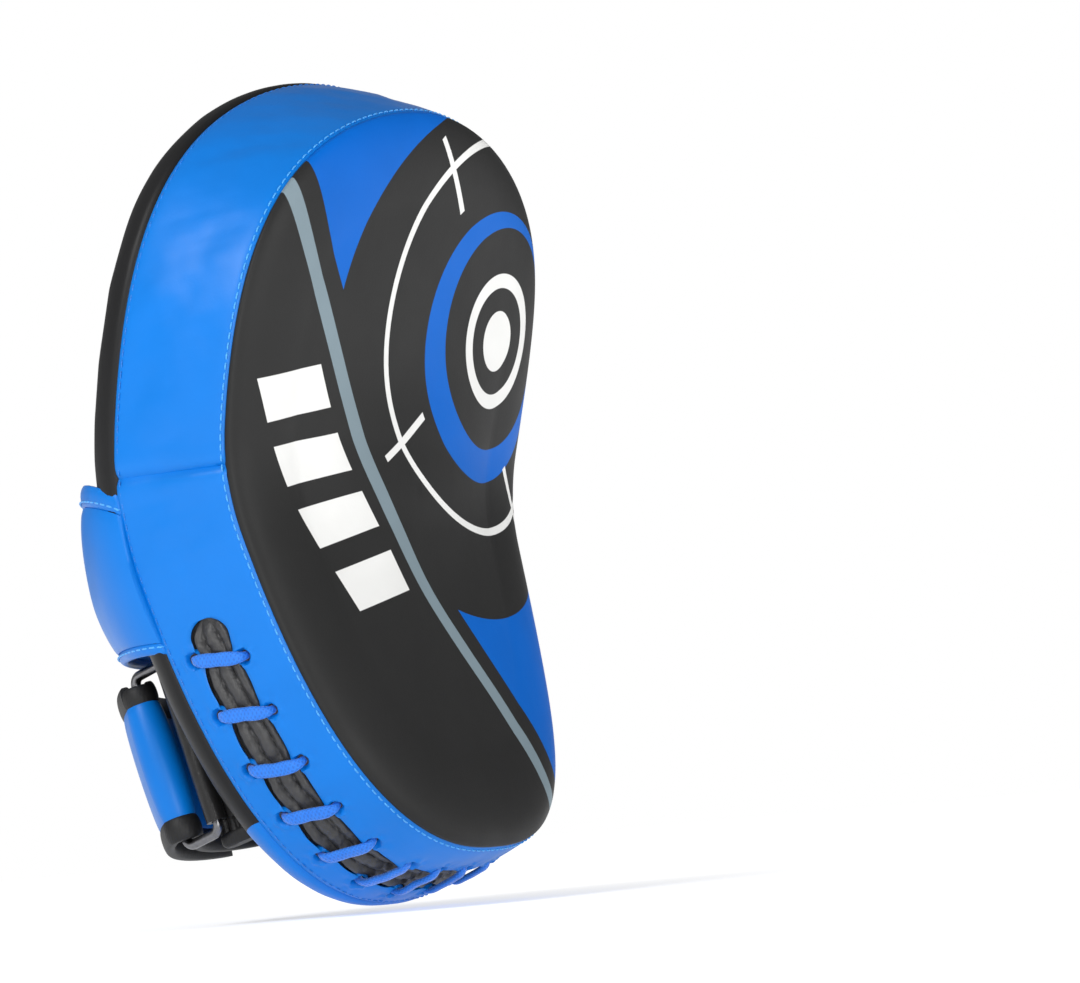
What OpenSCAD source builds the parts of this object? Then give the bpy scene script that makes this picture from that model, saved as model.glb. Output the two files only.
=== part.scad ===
// Curved focus mitt for the coach's right hand: a thick bent strike pad with a laced rear slot, and a glove
// compartment on its back. The mitt is held with the fingers up (+Z) and the strike face forward (-Y), and
// the origin is the middle of the palm, on the rear surface of the back panel. +X is the thumb side.

/* [Pad outline] */
// Length of the upper half of the pad, from the palm line to the finger end
top_len = 132; // [124:1:138]
// Length of the lower half of the pad, from the palm line to the heel end
bottom_len = 131; // [126:1:136]
// Half width of the pad's outline law at the palm line
mid_half = 98; // [92:1:102]
// Widening of the outline towards the finger end, mm per mm
taper = 0.15; // [0.12:0.01:0.17]
// Quadratic term of the outline's width
flare = 0.0018; // [0.0016:0.0001:0.0020]
// Cubic term of the outline's width
bulb = 0.000004; // [0:0.000001:0.000006]
// Roundness exponent of the finger end
top_round = 1.12; // [1.0:0.02:1.2]
// Roundness exponent of the heel end
heel_round = 0.8; // [0.75:0.01:0.9]

/* [Pad bend and thickness] */
// Radius of the bend across the palm, at the front seam
palm_r = 85; // [75:1:110]
// Half length of the bent zone, along the front seam
palm_s = 18; // [14:1:20]
// Radius of the gentle curve of the two halves
tip_r = 700; // [500:10:1200]
// Width of the side band, between the front and the rear seam
band_w = 43; // [42:1:46]
// Height of the rolled edge of the strike face above its seam
crown_h = 8; // [6:1:10]
// Width of that rolled edge
crown_in = 32; // [26:1:36]
// Extra height of the middle of the strike face
dome_h = 3; // [1:0.5:5]
// Extra height of the strike face where its cover bridges the bend
bridge_h = 5; // [0:0.5:8]
// Height of the rolled edge of the back above the rear seam
roll_h = 15; // [13:1:16]
// Width of the back's rolled edge on the upper half
roll_in = 18; // [16:1:22]
// Thickness of the vinyl skins
skin = 1.6; // [1.2:0.1:2.0]
// Place of the side band's joint above the palm line
joint_s = 5; // [3:0.5:7]

/* [Lacing] */
// Width of the lacing slot
slot_w = 11.6; // [10:0.2:12]
// Length of the slot from the heel middle up the little-finger side
slot_pinky = 145; // [136:1:148]
// Length of the slot from the heel middle up the thumb side
slot_thumb = 129; // [126:1:140]
// Distance between the two rows of punched holes
hole_gap = 18; // [17.6:0.2:18.4]
// Radius of a punched hole
hole_r = 2.6; // [2.5:0.1:2.8]
// Radius of the lace
lace_r = 2.2; // [2.0:0.1:2.3]
// Number of crossings of the lace over the slot
crossings = 14; // [12:1:14]
// Distance between crossings along the slot
lace_pitch = 19.5; // [19:0.5:20]

/* [Glove compartment] */
// Height of the hand cover's arch above the rear seam
arch_h = 54; // [50:1:56]
// Thickness of the hand cover's padding
cover_pad = 6.5; // [4:0.5:7]
// Half width of the finger hood
hood_half = 50; // [46:1:50]
// Height of the finger hood above the back panel
hood_h = 31; // [28:1:34]
// Radius of the palm grip's dome
grip_r = 24; // [22:1:26]
// Height of the palm grip
grip_h = 12; // [9:1:13]

/* [Wrist strap] */
// Width of the strap between its bindings
strap_w = 42; // [38:1:44]
// Width of each edge binding
strap_bind = 7.5; // [6:0.5:8]
// Thickness of the padded strap
strap_t = 4.6; // [4.2:0.1:4.6]
// Thickness of the strap's edge bindings
bind_t = 4; // [3.6:0.1:4.2]
// Radius of the ring's wire
wire_r = 1.75; // [1.5:0.05:1.75]
// Free height under the middle of the strap
wrist_h = 38; // [36:1:40]
// Distance of the ring's rear bar from the mitt's middle plane
bar_x = 47; // [46:0.5:48]
// Height of the ring's rear bar above the back panel
bar_v = 25; // [24:0.5:26]

/* [Hidden] */

blue = "royalblue";
black = [0.16, 0.16, 0.17];
grey_foam = [0.55, 0.56, 0.58];

// Points in one ring of the pad, and the rings that fill its middle
ring_n = 44;
core_scales = [0.75, 0.5, 0.25];
// Half length of the zone where the strike face bridges the bend
bridge_s = 30;
roll_angles = [0, 18, 36, 54, 72, 90];
// Distances of the layers' surfaces behind the front seam
back_n = band_w + roll_h;
impact_n = 11;
core_n = 37;
// Middle of the lacing slot behind the front seam
slot_n = 25;
slot_half = slot_w / 2;
hole_off = hole_gap / 2;
// Depth of the lace's runs under the side band
lace_depth = 4.4;
// Set-back of the foams behind the side band, and how much more of it the lace has behind it
foam_back = 0.4;
pocket_extra = 6.2;
// The lower half is laced fully below the first height, and not at all above the second
laced_below = -36;
laced_above = 6;
// Extra width of the back's rolled edge on the laced half
roll_more = 10;
// Edge length of the blocks that cut the side band and the back skin
cut_size = 400;
joint_gap = 0.3;

// ---------- pad surface ----------

function deg(rad) = rad * 180 / PI;
function signed_pow(v, e) = sign(v) * pow(abs(v), e);
function smooth(a, b, v) = let (u = min(max((v - a) / (b - a), 0), 1)) u * u * (3 - 2 * u);

function half_width(s) = mid_half + taper * s + flare * s * s + bulb * s * s * s;

// Point [x, s] of the outline at the angle t: 0 is the thumb side, 90 the finger end
function rim(t) =
    let (upper = sin(t) >= 0)
    let (s = (upper ? top_len : bottom_len) * sin(t))
    [half_width(s) * signed_pow(cos(t), upper ? top_round : heel_round), s];

function rim_normal(t) =
    let (d = rim(t + 0.5) - rim(t - 0.5))
    [d.y, -d.x] / norm(d);

function rim_inset(t, inset) = rim(t) - inset * rim_normal(t);

// Place of a pad point: x across, s along the front seam's line, n behind the front seam
function bent(x, s, n) =
    let (a = abs(s))
    let (t0 = deg(min(a, palm_s) / palm_r))
    let (t1 = t0 + deg(max(a - palm_s, 0) / tip_r))
    let (z = palm_r * sin(t0) + tip_r * (sin(t1) - sin(t0)))
    let (y = -palm_r * (1 - cos(t0)) - tip_r * (cos(t0) - cos(t1)))
    [x, y + n * cos(t1) - back_n, (s < 0 ? -1 : 1) * (z + n * sin(t1))];

// Tilt of the back surface at s, in degrees
function tilt(s) = deg(min(abs(s), palm_s) / palm_r + max(abs(s) - palm_s, 0) / tip_r);

ring_angles = [for (i = [0 : ring_n - 1]) i * 360 / ring_n];

function ring(inset, n, k = 1) = [
    for (t = ring_angles) let (p = k * rim_inset(t, inset)) bent(p.x, p.y, n)
];

// How far a rim point belongs to the lower, laced half: 0 above, 1 below
function laced(t) = 1 - smooth(laced_below, laced_above, rim(t).y);

// Ring behind the lace, which leaves it room on the lower half
function pocket_ring(n) = [
    for (t = ring_angles)
        let (p = rim_inset(t, skin + foam_back + pocket_extra * laced(t)))
        bent(p.x, p.y, n)
];

// Ring of the back's rolled edge at the angle a, under a skin of thickness th
function roll_ring(a, th) = [
    for (t = ring_angles)
        let (w = roll_in + roll_more * laced(t))
        let (p = rim_inset(t, th + (w - th) * (1 - cos(a))))
        bent(p.x, p.y, band_w + (roll_h - th) * sin(a))
];

function core_rings(n) = [for (k = core_scales) ring(crown_in, n, k)];

// Height of the bridged bend over the rest of the face, by the distance s from the palm line
function bridge(s) = bridge_h * exp(-(s / bridge_s) * (s / bridge_s));

// Ring of the domed middle of the strike face, at the share k of the way out to its rolled edge
function dome_ring(k, th) = [
    for (t = ring_angles)
        let (p = k * rim_inset(t, crown_in))
        bent(p.x, p.y, th - crown_h - (dome_h + bridge(p.y)) * (1 - k * k))
];

// Rings of the strike face from its rim to its middle, under a skin of thickness th
function face_rings(th) = concat(
    [for (a = roll_angles) ring(th + (crown_in - th) * (1 - cos(a)), (th - crown_h) * sin(a))],
    [for (k = core_scales) dome_ring(k, th)]
);
function face_middle(th) = bent(0, 0, th - crown_h - dome_h - bridge_h);

function back_rings(th) = concat(
    [for (a = roll_angles) roll_ring(a, th)],
    core_rings(back_n - th)
);

function plane_rings(n) = concat([ring(skin, n), pocket_ring(n), ring(crown_in, n)], core_rings(n));
function core_plane_rings(n) = concat([pocket_ring(n), ring(crown_in, n)], core_rings(n));

function reversed(v) = [for (i = [len(v) - 1 : -1 : 0]) v[i]];
function flat(v) = [for (row = v, p = row) p];

// ---------- closed meshes ----------

function volume_sign(pts, tris) =
    let (parts = [for (f = tris) cross(pts[f[0]], pts[f[1]]) * pts[f[2]]])
    sign(parts * [for (p = parts) 1]);

// The two triangles of the quad a b c d, split along its shorter diagonal
function split(pts, a, b, c, d) =
    norm(pts[a] - pts[c]) < norm(pts[b] - pts[d]) ? [[a, b, c], [a, c, d]] : [[a, b, d], [b, c, d]];

module mesh(pts, tris) {
    outward = volume_sign(pts, tris) < 0;
    polyhedron(points = pts, faces = outward ? tris : [for (f = tris) reversed(f)]);
}

// Triangles between consecutive rings of m points; wrap joins the last ring to the first
function ring_tris(pts, rows, m, wrap = false) = [
    for (r = [0 : rows - (wrap ? 1 : 2)], i = [0 : m - 1])
        let (q = (r + 1) % rows, j = (i + 1) % m)
        each split(pts, r * m + i, r * m + j, q * m + j, q * m + i)
];

// Solid from rings that start and end at a middle point
module capped_stack(rings, first, last) {
    rows = len(rings);
    m = len(rings[0]);
    pts = concat(flat(rings), [first, last]);
    tris = concat(
        ring_tris(pts, rows, m),
        [for (i = [0 : m - 1]) [rows * m, (i + 1) % m, i]],
        [for (i = [0 : m - 1]) [rows * m + 1, (rows - 1) * m + i, (rows - 1) * m + (i + 1) % m]]
    );
    mesh(pts, tris);
}

// Solid from rings that close on themselves, such as a band
module looped_stack(rings) {
    pts = flat(rings);
    mesh(pts, ring_tris(pts, len(rings), len(rings[0]), true));
}

// Solid between two sheets of points with the same rows and columns
module sheet_solid(outer, inner) {
    rows = len(outer);
    m = len(outer[0]);
    w = 2 * m;
    pts = flat([for (r = [0 : rows - 1]) concat(outer[r], reversed(inner[r]))]);
    last = (rows - 1) * w;
    tris = concat(
        ring_tris(pts, rows, w),
        [for (i = [0 : m - 2]) each split(pts, i + 1, i, w - 1 - i, w - 2 - i)],
        [for (i = [0 : m - 2]) each split(pts, last + i, last + i + 1, last + w - 2 - i, last + w - 1 - i)]
    );
    mesh(pts, tris);
}

// ---------- strike pad ----------

module face_cover() {
    color(black)
        capped_stack(concat(reversed(face_rings(0)), face_rings(skin)), face_middle(0), face_middle(skin));
}

module impact_foam() {
    color(grey_foam)
        capped_stack(
            concat(reversed(face_rings(skin)), plane_rings(impact_n)),
            face_middle(skin),
            bent(0, 0, impact_n)
        );
}

module core_foam() {
    color("dimgray")
        capped_stack(
            concat(reversed(core_plane_rings(impact_n)), core_plane_rings(core_n)),
            bent(0, 0, impact_n),
            bent(0, 0, core_n)
        );
}

module rear_foam() {
    color(grey_foam)
        capped_stack(
            concat(reversed(plane_rings(core_n)), plane_rings(band_w)),
            bent(0, 0, core_n),
            bent(0, 0, band_w)
        );
}

// The inner side has the foams' rings, so that it meets them face to face
module whole_band() {
    looped_stack([
        ring(0, 0), ring(0, band_w),
        ring(skin, band_w), ring(skin, core_n), ring(skin, impact_n), ring(skin, 0)
    ]);
}

// Everything of the pad above the side band's joint
module above_joint() {
    translate(bent(0, joint_s, 0)) translate([-cut_size / 2, -cut_size / 2, 0]) cube(cut_size);
}

module upper_side_band() {
    color(blue)
        intersection() {
            whole_band();
            above_joint();
        }
}

// Angle t of the point at the distance a from the heel middle, measured along the outline;
// a is positive towards the little finger
arc_step = 2;
arc_lengths = [
    for (t = 270, a = 0; t > 150; a = a + norm(rim(t - arc_step) - rim(t)), t = t - arc_step) [a, t]
];
function arc_angle(a) = let (t = lookup(abs(a), arc_lengths)) a < 0 ? 540 - t : t;

// Place on the lower side band: a along the outline, n behind the front seam, d below its surface
function on_band(a, n, d) = let (p = rim_inset(arc_angle(a), d)) bent(p.x, p.y, n);

slot_steps = 44;
// Half width left at the very ends of the slot
slot_end = 0.6;
// How far the slot's cutter stands out of the band and reaches in behind it
cut_out = 3;
cut_in = 2;
slot_arcs = [for (i = [0 : slot_steps]) -slot_thumb + (slot_pinky + slot_thumb) * i / slot_steps];
// Half width of the slot at a, closing in a half circle at both ends
function slot_reach(a, half) =
    let (e = min(slot_pinky - a, a + slot_thumb, half))
    max(sqrt(half * half - (half - e) * (half - e)), slot_end);

// The two edge points of a slot strip at a, at the depth d below the band's surface
function slot_row(a, half, d) =
    let (w = slot_reach(a, half))
    [on_band(a, slot_n - w, d), on_band(a, slot_n + w, d)];

// Strip along the slot, of the given half width, from the depth d0 to the depth d1 below the surface
module slot_strip(half, d0, d1) {
    sheet_solid(
        [for (a = slot_arcs) slot_row(a, half, d0)],
        [for (a = slot_arcs) slot_row(a, half, d1)]
    );
}

// Distance of the uppermost crossing from the slot's end
first_crossing = 13.5;
crossing_arcs = [for (i = [0 : crossings - 1]) slot_pinky - first_crossing - i * lace_pitch];
// The rear hole of a crossing lies further up the slot than its front hole, except at the heel
hole_shift = 2.5;
shift_zone = 30;
function hole_arc(a, side) = a + side * hole_shift * min(abs(a) / shift_zone, 1) * sign(a);

module punched_hole(a, side) {
    n = slot_n + side * hole_off;
    t = hole_arc(a, side);
    out = on_band(t, n, -cut_out);
    in = on_band(t, n, skin + cut_in);
    d = in - out;
    translate(out)
        rotate([0, acos(d.z / norm(d)), atan2(d.y, d.x)])
        cylinder(r = hole_r, h = norm(d), $fn = 10);
}

module lower_side_band() {
    color(blue)
        difference() {
            whole_band();
            above_joint();
            slot_strip(slot_half, -cut_out, skin + cut_in);
            for (a = crossing_arcs) {
                punched_hole(a, -1);
                punched_hole(a, 1);
            }
        }
}

// The gusset's overlap behind the slot's edges, and the depth of its inner side
gusset_lap = 0.6;
gusset_depth = 6;

module slot_gusset() {
    color(black) slot_strip(slot_half + gusset_lap, skin + foam_back, gusset_depth);
}

// ---------- lace ----------

lace_clear = 0.1;
lace_high = lace_r + lace_clear;
// The lace goes over the slot, down a hole, along under the band and up the next hole on that side
lace_route = [
    for (i = [0 : crossings - 1])
        let (s0 = i % 2 == 0 ? 1 : -1, a = crossing_arcs[i])
        each [
            on_band(hole_arc(a, s0), slot_n + s0 * hole_off, lace_depth),
            on_band(hole_arc(a, s0), slot_n + s0 * hole_off, -lace_high),
            on_band(a, slot_n, -lace_high),
            on_band(hole_arc(a, -s0), slot_n - s0 * hole_off, -lace_high),
            on_band(hole_arc(a, -s0), slot_n - s0 * hole_off, lace_depth)
        ]
];
lace_sides = 8;

function unit(v) = v / norm(v);
// Mean direction of the route at the point i
function route_dir(r, i) =
    let (a = i > 0 ? unit(r[i] - r[i - 1]) : unit(r[1] - r[0]))
    let (b = i < len(r) - 1 ? unit(r[i + 1] - r[i]) : a)
    unit(a + b);
// A side vector carried along the route without twist
function carried(r, i, prev) =
    let (d = route_dir(r, i))
    unit(prev - (prev * d) * d);
function sides(r) = [
    for (i = 0, v = carried(r, 0, [0.3, 0.2, 0.9]); i < len(r); i = i + 1,
        v = i < len(r) ? carried(r, i, v) : v) v
];

// Sharpest corner that a ring is widened for, and the bend below which a stretch counts as straight
min_cos = 0.6;
straight = 0.01;

// Round cord along a route: each ring lies in the plane that halves its corner
module cord(r, radius, m) {
    sv = sides(r);
    rings = [
        for (i = [0 : len(r) - 1])
            let (d = route_dir(r, i), u = sv[i], w = cross(d, u))
            let (leg = i > 0 ? unit(r[i] - r[i - 1]) : d)
            let (bend = cross(leg, d))
            let (open = 1 / max(leg * d, min_cos))
            let (e = norm(bend) > straight ? unit(cross(bend, d)) : u)
            [
                for (k = [0 : m - 1])
                    let (q = cos(k * 360 / m) * u + sin(k * 360 / m) * w)
                    r[i] + radius * (q + (open - 1) * (q * e) * e)
            ]
    ];
    capped_stack(rings, r[0], r[len(r) - 1]);
}

module lace_cord() {
    color("dodgerblue") cord(lace_route, lace_r, lace_sides);
}

// ---------- back ----------

heel_cut = -100;

module back_skin() {
    capped_stack(
        concat(reversed(back_rings(skin)), back_rings(0)),
        bent(0, 0, back_n - skin),
        bent(0, 0, back_n)
    );
}

module below_heel_cut() {
    translate(bent(0, heel_cut, band_w))
        rotate([-tilt(heel_cut), 0, 0])
        translate([-cut_size / 2, -cut_size / 2, -cut_size])
        cube(cut_size);
}

module back_panel() {
    color(black)
        difference() {
            back_skin();
            below_heel_cut();
        }
}

module heel_panel() {
    color(blue)
        intersection() {
            back_skin();
            below_heel_cut();
        }
}

module back_padding() {
    color(grey_foam)
        capped_stack(
            concat(reversed(plane_rings(band_w)), back_rings(skin)),
            bent(0, 0, band_w),
            bent(0, 0, back_n - skin)
        );
}

module palm_grip() {
    base_r = sqrt(grip_r * grip_r - (grip_r - grip_h) * (grip_r - grip_h));
    color(black)
        translate([0, joint_gap, 0])
        rotate([-90, 0, 0])
        rotate_extrude($fn = 60)
        intersection() {
            translate([0, grip_h - grip_r]) circle(r = grip_r, $fn = 120);
            square([base_r + 1, grip_h + 1]);
        }
}

// ---------- finger hood and thumb sleeve ----------

// Lengthwise profile of a hood: [distance along it, share of its width, share of its height]
hood_rows = [[0, 1, 0.97], [0.2, 1, 1], [0.4, 0.99, 1], [0.6, 0.95, 0.93], [0.78, 0.86, 0.74],
    [0.92, 0.7, 0.42], [1, 0.55, 0.1]];
hood_cols = [for (a = [0 : 15 : 180]) a];
hood_power = 0.85;
hood_lift = 0.3;
// Least height of the hood, at its closed end
hood_low = 3.2;

// Sheet of a hood centred at x0, from s0 over the length len, pulled in by d
function hood_sheet(x0, s0, len, half, height, d) = [
    for (row = hood_rows)
        [
            for (a = hood_cols)
                bent(
                    x0 + (half * row[1] - d) * signed_pow(cos(a), hood_power),
                    s0 + len * row[0],
                    back_n + hood_lift + (max(height * row[2], hood_low) - d) * signed_pow(sin(a), hood_power)
                )
        ]
];

hood_s = 9;
hood_len = 74;
hood_skin = 1.6;
lining_t = 1;
thumb_x = 66;
thumb_s = 12;
thumb_len = 36;
thumb_half = 13;
thumb_h = 22;

module hood_layer(x0, s0, len, half, height, d0, d1) {
    sheet_solid(hood_sheet(x0, s0, len, half, height, d0), hood_sheet(x0, s0, len, half, height, d1));
}

module finger_hood() {
    color(black) hood_layer(0, hood_s, hood_len, hood_half, hood_h, 0, hood_skin);
}

module finger_lining() {
    color([0.25, 0.25, 0.27])
        hood_layer(0, hood_s, hood_len, hood_half, hood_h, hood_skin, hood_skin + lining_t);
}

web_t = 1.2;
// The webs end this share below the lining, and run over this part of the hood's length
web_share = 0.93;
web_from = 0.12;
web_to = 0.74;

// Web between two fingers at x, under the hood's lining
module divider(x) {
    reach = hood_skin + lining_t + joint_gap;
    function roof(s, xx) =
        let (v = (s - hood_s) / hood_len)
        let (half = hood_half * lookup(v, [for (r = hood_rows) [r[0], r[1]]]) - reach)
        let (h = hood_h * lookup(v, [for (r = hood_rows) [r[0], r[2]]]) - reach)
        web_share * h * pow(1 - pow(abs(xx) / half, 2 / hood_power), hood_power / 2);
    rows = [for (i = [0 : 6]) hood_s + hood_len * (web_from + (web_to - web_from) * i / 6)];
    low = back_n + hood_lift;
    sheet_solid(
        [for (s = rows) [bent(x - web_t / 2, s, low), bent(x - web_t / 2, s, back_n + roof(s, x))]],
        [for (s = rows) [bent(x + web_t / 2, s, low), bent(x + web_t / 2, s, back_n + roof(s, x))]]
    );
}

finger_pitch = 22;

module finger_dividers() {
    color([0.25, 0.25, 0.27])
        for (k = [-1 : 1]) divider(k * finger_pitch);
}

tape_w = 3;
tape_gap = 0.2;

// The hood's opening, carried down by the given distance and pulled in by d
function hood_mouth(down, d) = hood_sheet(0, hood_s - down, 0, hood_half, hood_h, d)[0];

// Tape round the hood's open lower edge
module finger_binding() {
    d = hood_skin + lining_t;
    color(black)
        sheet_solid(
            [hood_mouth(tape_gap + tape_w, 0), hood_mouth(tape_gap, 0)],
            [hood_mouth(tape_gap + tape_w, d), hood_mouth(tape_gap, d)]
        );
}

module thumb_sleeve() {
    color(black) hood_layer(thumb_x, thumb_s, thumb_len, thumb_half, thumb_h, 0, hood_skin);
}

module thumb_lining() {
    color([0.25, 0.25, 0.27])
        hood_layer(thumb_x, thumb_s, thumb_len, thumb_half, thumb_h, hood_skin, hood_skin + lining_t);
}

// ---------- hand cover ----------

// Angles across the arch; the outer two are the sewn feet
arch_angles = [17, 19, 22, 26, 32, 40, 50, 60, 70, 80, 90, 100, 110, 120, 130, 140, 148, 154, 158, 161, 163];
arch_power = 1.7;
// The feet's two ends along the pad
cover_top = -4.5;
cover_bottom = -40;
hem_w = 3.5;
// Both edges climb from the feet, square to the hand; the upper one dips again towards the crown
top_rise = 12.2;
top_dip = 9.2;
bottom_rise = 10;

// Point of the arch across x at the angle a, for a surface d inside the outer one
function arch_point(s, a, d) =
    let (e = 2 / arch_power)
    let (w = rim(asin(max(s / bottom_len, -1))).x)
    let (q = [w * signed_pow(cos(a), e), arch_h * signed_pow(sin(a), e)])
    let (g = unit([cos(a) / w, sin(a) / arch_h]))
    [q.x - d * g.x, band_w + q.y - d * g.y];

// Padding share at the angle a: none at the feet, all of it from 34 degrees on
bare_to = 15;
full_from = 34;
function padded(a) = smooth(bare_to, full_from, min(a, 180 - a));

// Row of the cover at the share v of its length; lo and hi shift its two ends outwards
function cover_row(v, depth, angles, lo = 0, hi = 0) = [
    for (a = angles)
        let (top = cover_top + (top_rise - top_dip * sin(a)) * sin(a) + hi)
        let (bottom = cover_bottom + bottom_rise * sin(a) - lo)
        let (s = top * (1 - v) + bottom * v)
        let (d = depth[0] + depth[1] * padded(a))
        let (p = arch_point(s, a, d))
        bent(p.x, s, p.y)
];

cover_rows = [0, 0.2, 0.4, 0.6, 0.8, 1];
function cover_sheet(depth, angles) = [for (v = cover_rows) cover_row(v, depth, angles)];
inner_angles = [for (i = [1 : len(arch_angles) - 2]) arch_angles[i]];

module hand_cover() {
    color(blue) sheet_solid(cover_sheet([0, 0], arch_angles), cover_sheet([skin, 0], arch_angles));
}

module cover_padding() {
    color(grey_foam)
        sheet_solid(cover_sheet([skin, 0], inner_angles), cover_sheet([skin, cover_pad], inner_angles));
}

module cover_lining() {
    color([0.2, 0.2, 0.22])
        sheet_solid(
            cover_sheet([skin, cover_pad], arch_angles),
            cover_sheet([skin + lining_t, cover_pad], arch_angles)
        );
}

hem_t = 2.8;
hem_gap = 0.1;

module cover_top_hem() {
    color(blue)
        sheet_solid(
            [for (hi = [hem_w, hem_gap]) cover_row(0, [0, 0], arch_angles, 0, hi)],
            [for (hi = [hem_w, hem_gap]) cover_row(0, [hem_t, 0], arch_angles, 0, hi)]
        );
}

module cover_bottom_hem() {
    color(blue)
        sheet_solid(
            [for (lo = [hem_gap, hem_w]) cover_row(1, [0, 0], arch_angles, lo, 0)],
            [for (lo = [hem_gap, hem_w]) cover_row(1, [hem_t, 0], arch_angles, lo, 0)]
        );
}

// ---------- wrist frame ----------

// The wrist pieces stand on the lower back: X across, Y off the back panel, Z along the pad
wrist_s = -66;

module at_wrist() {
    translate(bent(0, wrist_s, back_n)) rotate([-tilt(wrist_s), 0, 0]) children();
}

// Piece of the given 2-D section between two heights along the pad
module along(z0, z1) {
    at_wrist() translate([0, 0, z0]) linear_extrude(z1 - z0) children();
}

cuff_low = -36;
cuff_high = 22;
cuff_bind_w = 5;
cuff_in = 40;
cuff_out = 46.8;
cuff_top = 13;
cuff_skin = 1.4;
cuff_round = 2.6;
// Clearance of the walls over the back panel, and of their mesh
cuff_foot = 0.4;
mesh_foot = 0.6;

// Section of a cuff wall on the side k, shrunk by d
module cuff_section(k, d) {
    x0 = cuff_in + d;
    x1 = cuff_out - d;
    r = cuff_round - d;
    y0 = cuff_foot + d;
    y1 = cuff_top - d;
    mirror([k < 0 ? 1 : 0, 0])
        union() {
            translate([x0, y0]) square([x1 - x0, y1 - r - y0]);
            translate([x0 + r, y0]) square([x1 - x0 - 2 * r, y1 - y0]);
            translate([x0 + r, y1 - r]) circle(r = r, $fn = 40);
            translate([x1 - r, y1 - r]) circle(r = r, $fn = 40);
        }
}

module cuff_skin_side(k) {
    along(cuff_low + cuff_bind_w, cuff_high - cuff_bind_w)
        difference() {
            cuff_section(k, 0);
            cuff_section(k, cuff_skin);
        }
}

module cuff_pinky_skin() {
    color(black) cuff_skin_side(-1);
}

module cuff_thumb_skin() {
    color(black) cuff_skin_side(1);
}

module cuff_foam() {
    color(grey_foam)
        for (k = [-1, 1])
            along(cuff_low + cuff_bind_w, cuff_high - cuff_bind_w) cuff_section(k, cuff_skin);
}

// Mesh sewn on the wrist side of both walls
module cuff_lining() {
    color([0.3, 0.3, 0.32])
        for (k = [-1, 1])
            along(cuff_low + cuff_bind_w, cuff_high - cuff_bind_w)
                mirror([k < 0 ? 1 : 0, 0])
                translate([cuff_in - lining_t, mesh_foot])
                square([lining_t, cuff_top - cuff_round - cuff_foot - mesh_foot]);
}

module cuff_binding() {
    color(black)
        for (k = [-1, 1]) {
            along(cuff_low, cuff_low + cuff_bind_w) cuff_section(k, 0);
            along(cuff_high - cuff_bind_w, cuff_high) cuff_section(k, 0);
        }
}

// ---------- wrist strap ----------

// Clearance of the strap round the ring's wire
wire_gap = 0.3;
fold_r = wire_r + wire_gap + strap_t / 2;
// Height of the strap's arc centre, from the ring's bar and the free height of the wrist
rise = wrist_h + strap_t / 2 + fold_r;
arc_v = (rise * rise - bar_x * bar_x - bar_v * bar_v) / (2 * (rise - bar_v));
mid_r = rise - arc_v;
base_r = mid_r - fold_r;
end_r = mid_r + fold_r;
// Angle of the ring's bar from the top of the arc, on the little-finger side
bar_a = -asin(bar_x / mid_r);
thumb_a = 50;
hinge_a = bar_a + 1;
tip_a = -8;
free_a = 13;
arc_gap = 0.3;

function polar(r, a) = [r * sin(a), arc_v + r * cos(a)];
function arc_path(r, a0, a1) =
    let (n = ceil(abs(a1 - a0) / 6))
    [for (i = [0 : n]) polar(r, a0 + (a1 - a0) * i / n)];

// Closed outline of a band of thickness t along a path
function ribbon(path, t) =
    let (m = len(path) - 1)
    let (dirs = [for (i = [0 : m]) unit(path[min(i + 1, m)] - path[max(i - 1, 0)])])
    concat(
        [for (i = [0 : m]) path[i] + t / 2 * [-dirs[i].y, dirs[i].x]],
        [for (i = [m : -1 : 0]) path[i] - t / 2 * [-dirs[i].y, dirs[i].x]]
    );

// Lower layer: down the outside of the thumb wall, then over the wrist to the ring
root_r = 12;
root_v = 3;
root_start = polar(base_r, thumb_a);
root_centre = root_start - root_r * [sin(thumb_a), cos(thumb_a)];
base_path = concat(
    [[root_centre.x + root_r, root_v]],
    [for (i = [0 : 3]) let (a = 90 - (90 - thumb_a) * i / 4) root_centre + root_r * [sin(a), cos(a)]],
    arc_path(base_r, thumb_a, bar_a + arc_gap)
);

fold_centre = polar(mid_r, bar_a);
fold_path = [for (a = [0 : 15 : 180]) fold_centre + fold_r * [-sin(bar_a + a), -cos(bar_a + a)]];
end_path = arc_path(end_r, hinge_a, tip_a - arc_gap);
tip_path = arc_path(end_r, tip_a, free_a);

half_strap = strap_w / 2;
half_bind = half_strap + strap_bind;

module strap_part(path) {
    along(-half_strap, half_strap) polygon(ribbon(path, strap_t));
}

module strap_edges(path) {
    along(-half_bind, -half_strap) polygon(ribbon(path, bind_t));
    along(half_strap, half_bind) polygon(ribbon(path, bind_t));
}

module strap_base() {
    color(blue) strap_part(base_path);
}

module strap_base_binding() {
    color(black) strap_edges(base_path);
}

module strap_fold() {
    color(blue) strap_part(fold_path);
}

module strap_fold_binding() {
    color(black) strap_edges(fold_path);
}

module strap_end() {
    color(blue) strap_part(end_path);
}

module strap_end_binding() {
    color(black) strap_edges(end_path);
}

module strap_tip() {
    color(blue) strap_part(tip_path);
}

module strap_tip_binding() {
    color(black) strap_edges(tip_path);
}

// The two halves of the hook-and-loop closure fill the space between the strap's layers
patch_space = 2 * fold_r - strap_t;
patch_t = (patch_space - joint_gap) / 2;
patch_half = 17;
// Room for the arcs' flats between a patch and the strap
patch_gap = 0.1;
hook_a0 = bar_a + 9;
hook_a1 = tip_a - 2;
loop_a1 = 32;
hook_r = end_r - (strap_t + patch_t) / 2;
loop_r = base_r + (strap_t + patch_t) / 2;

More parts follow.
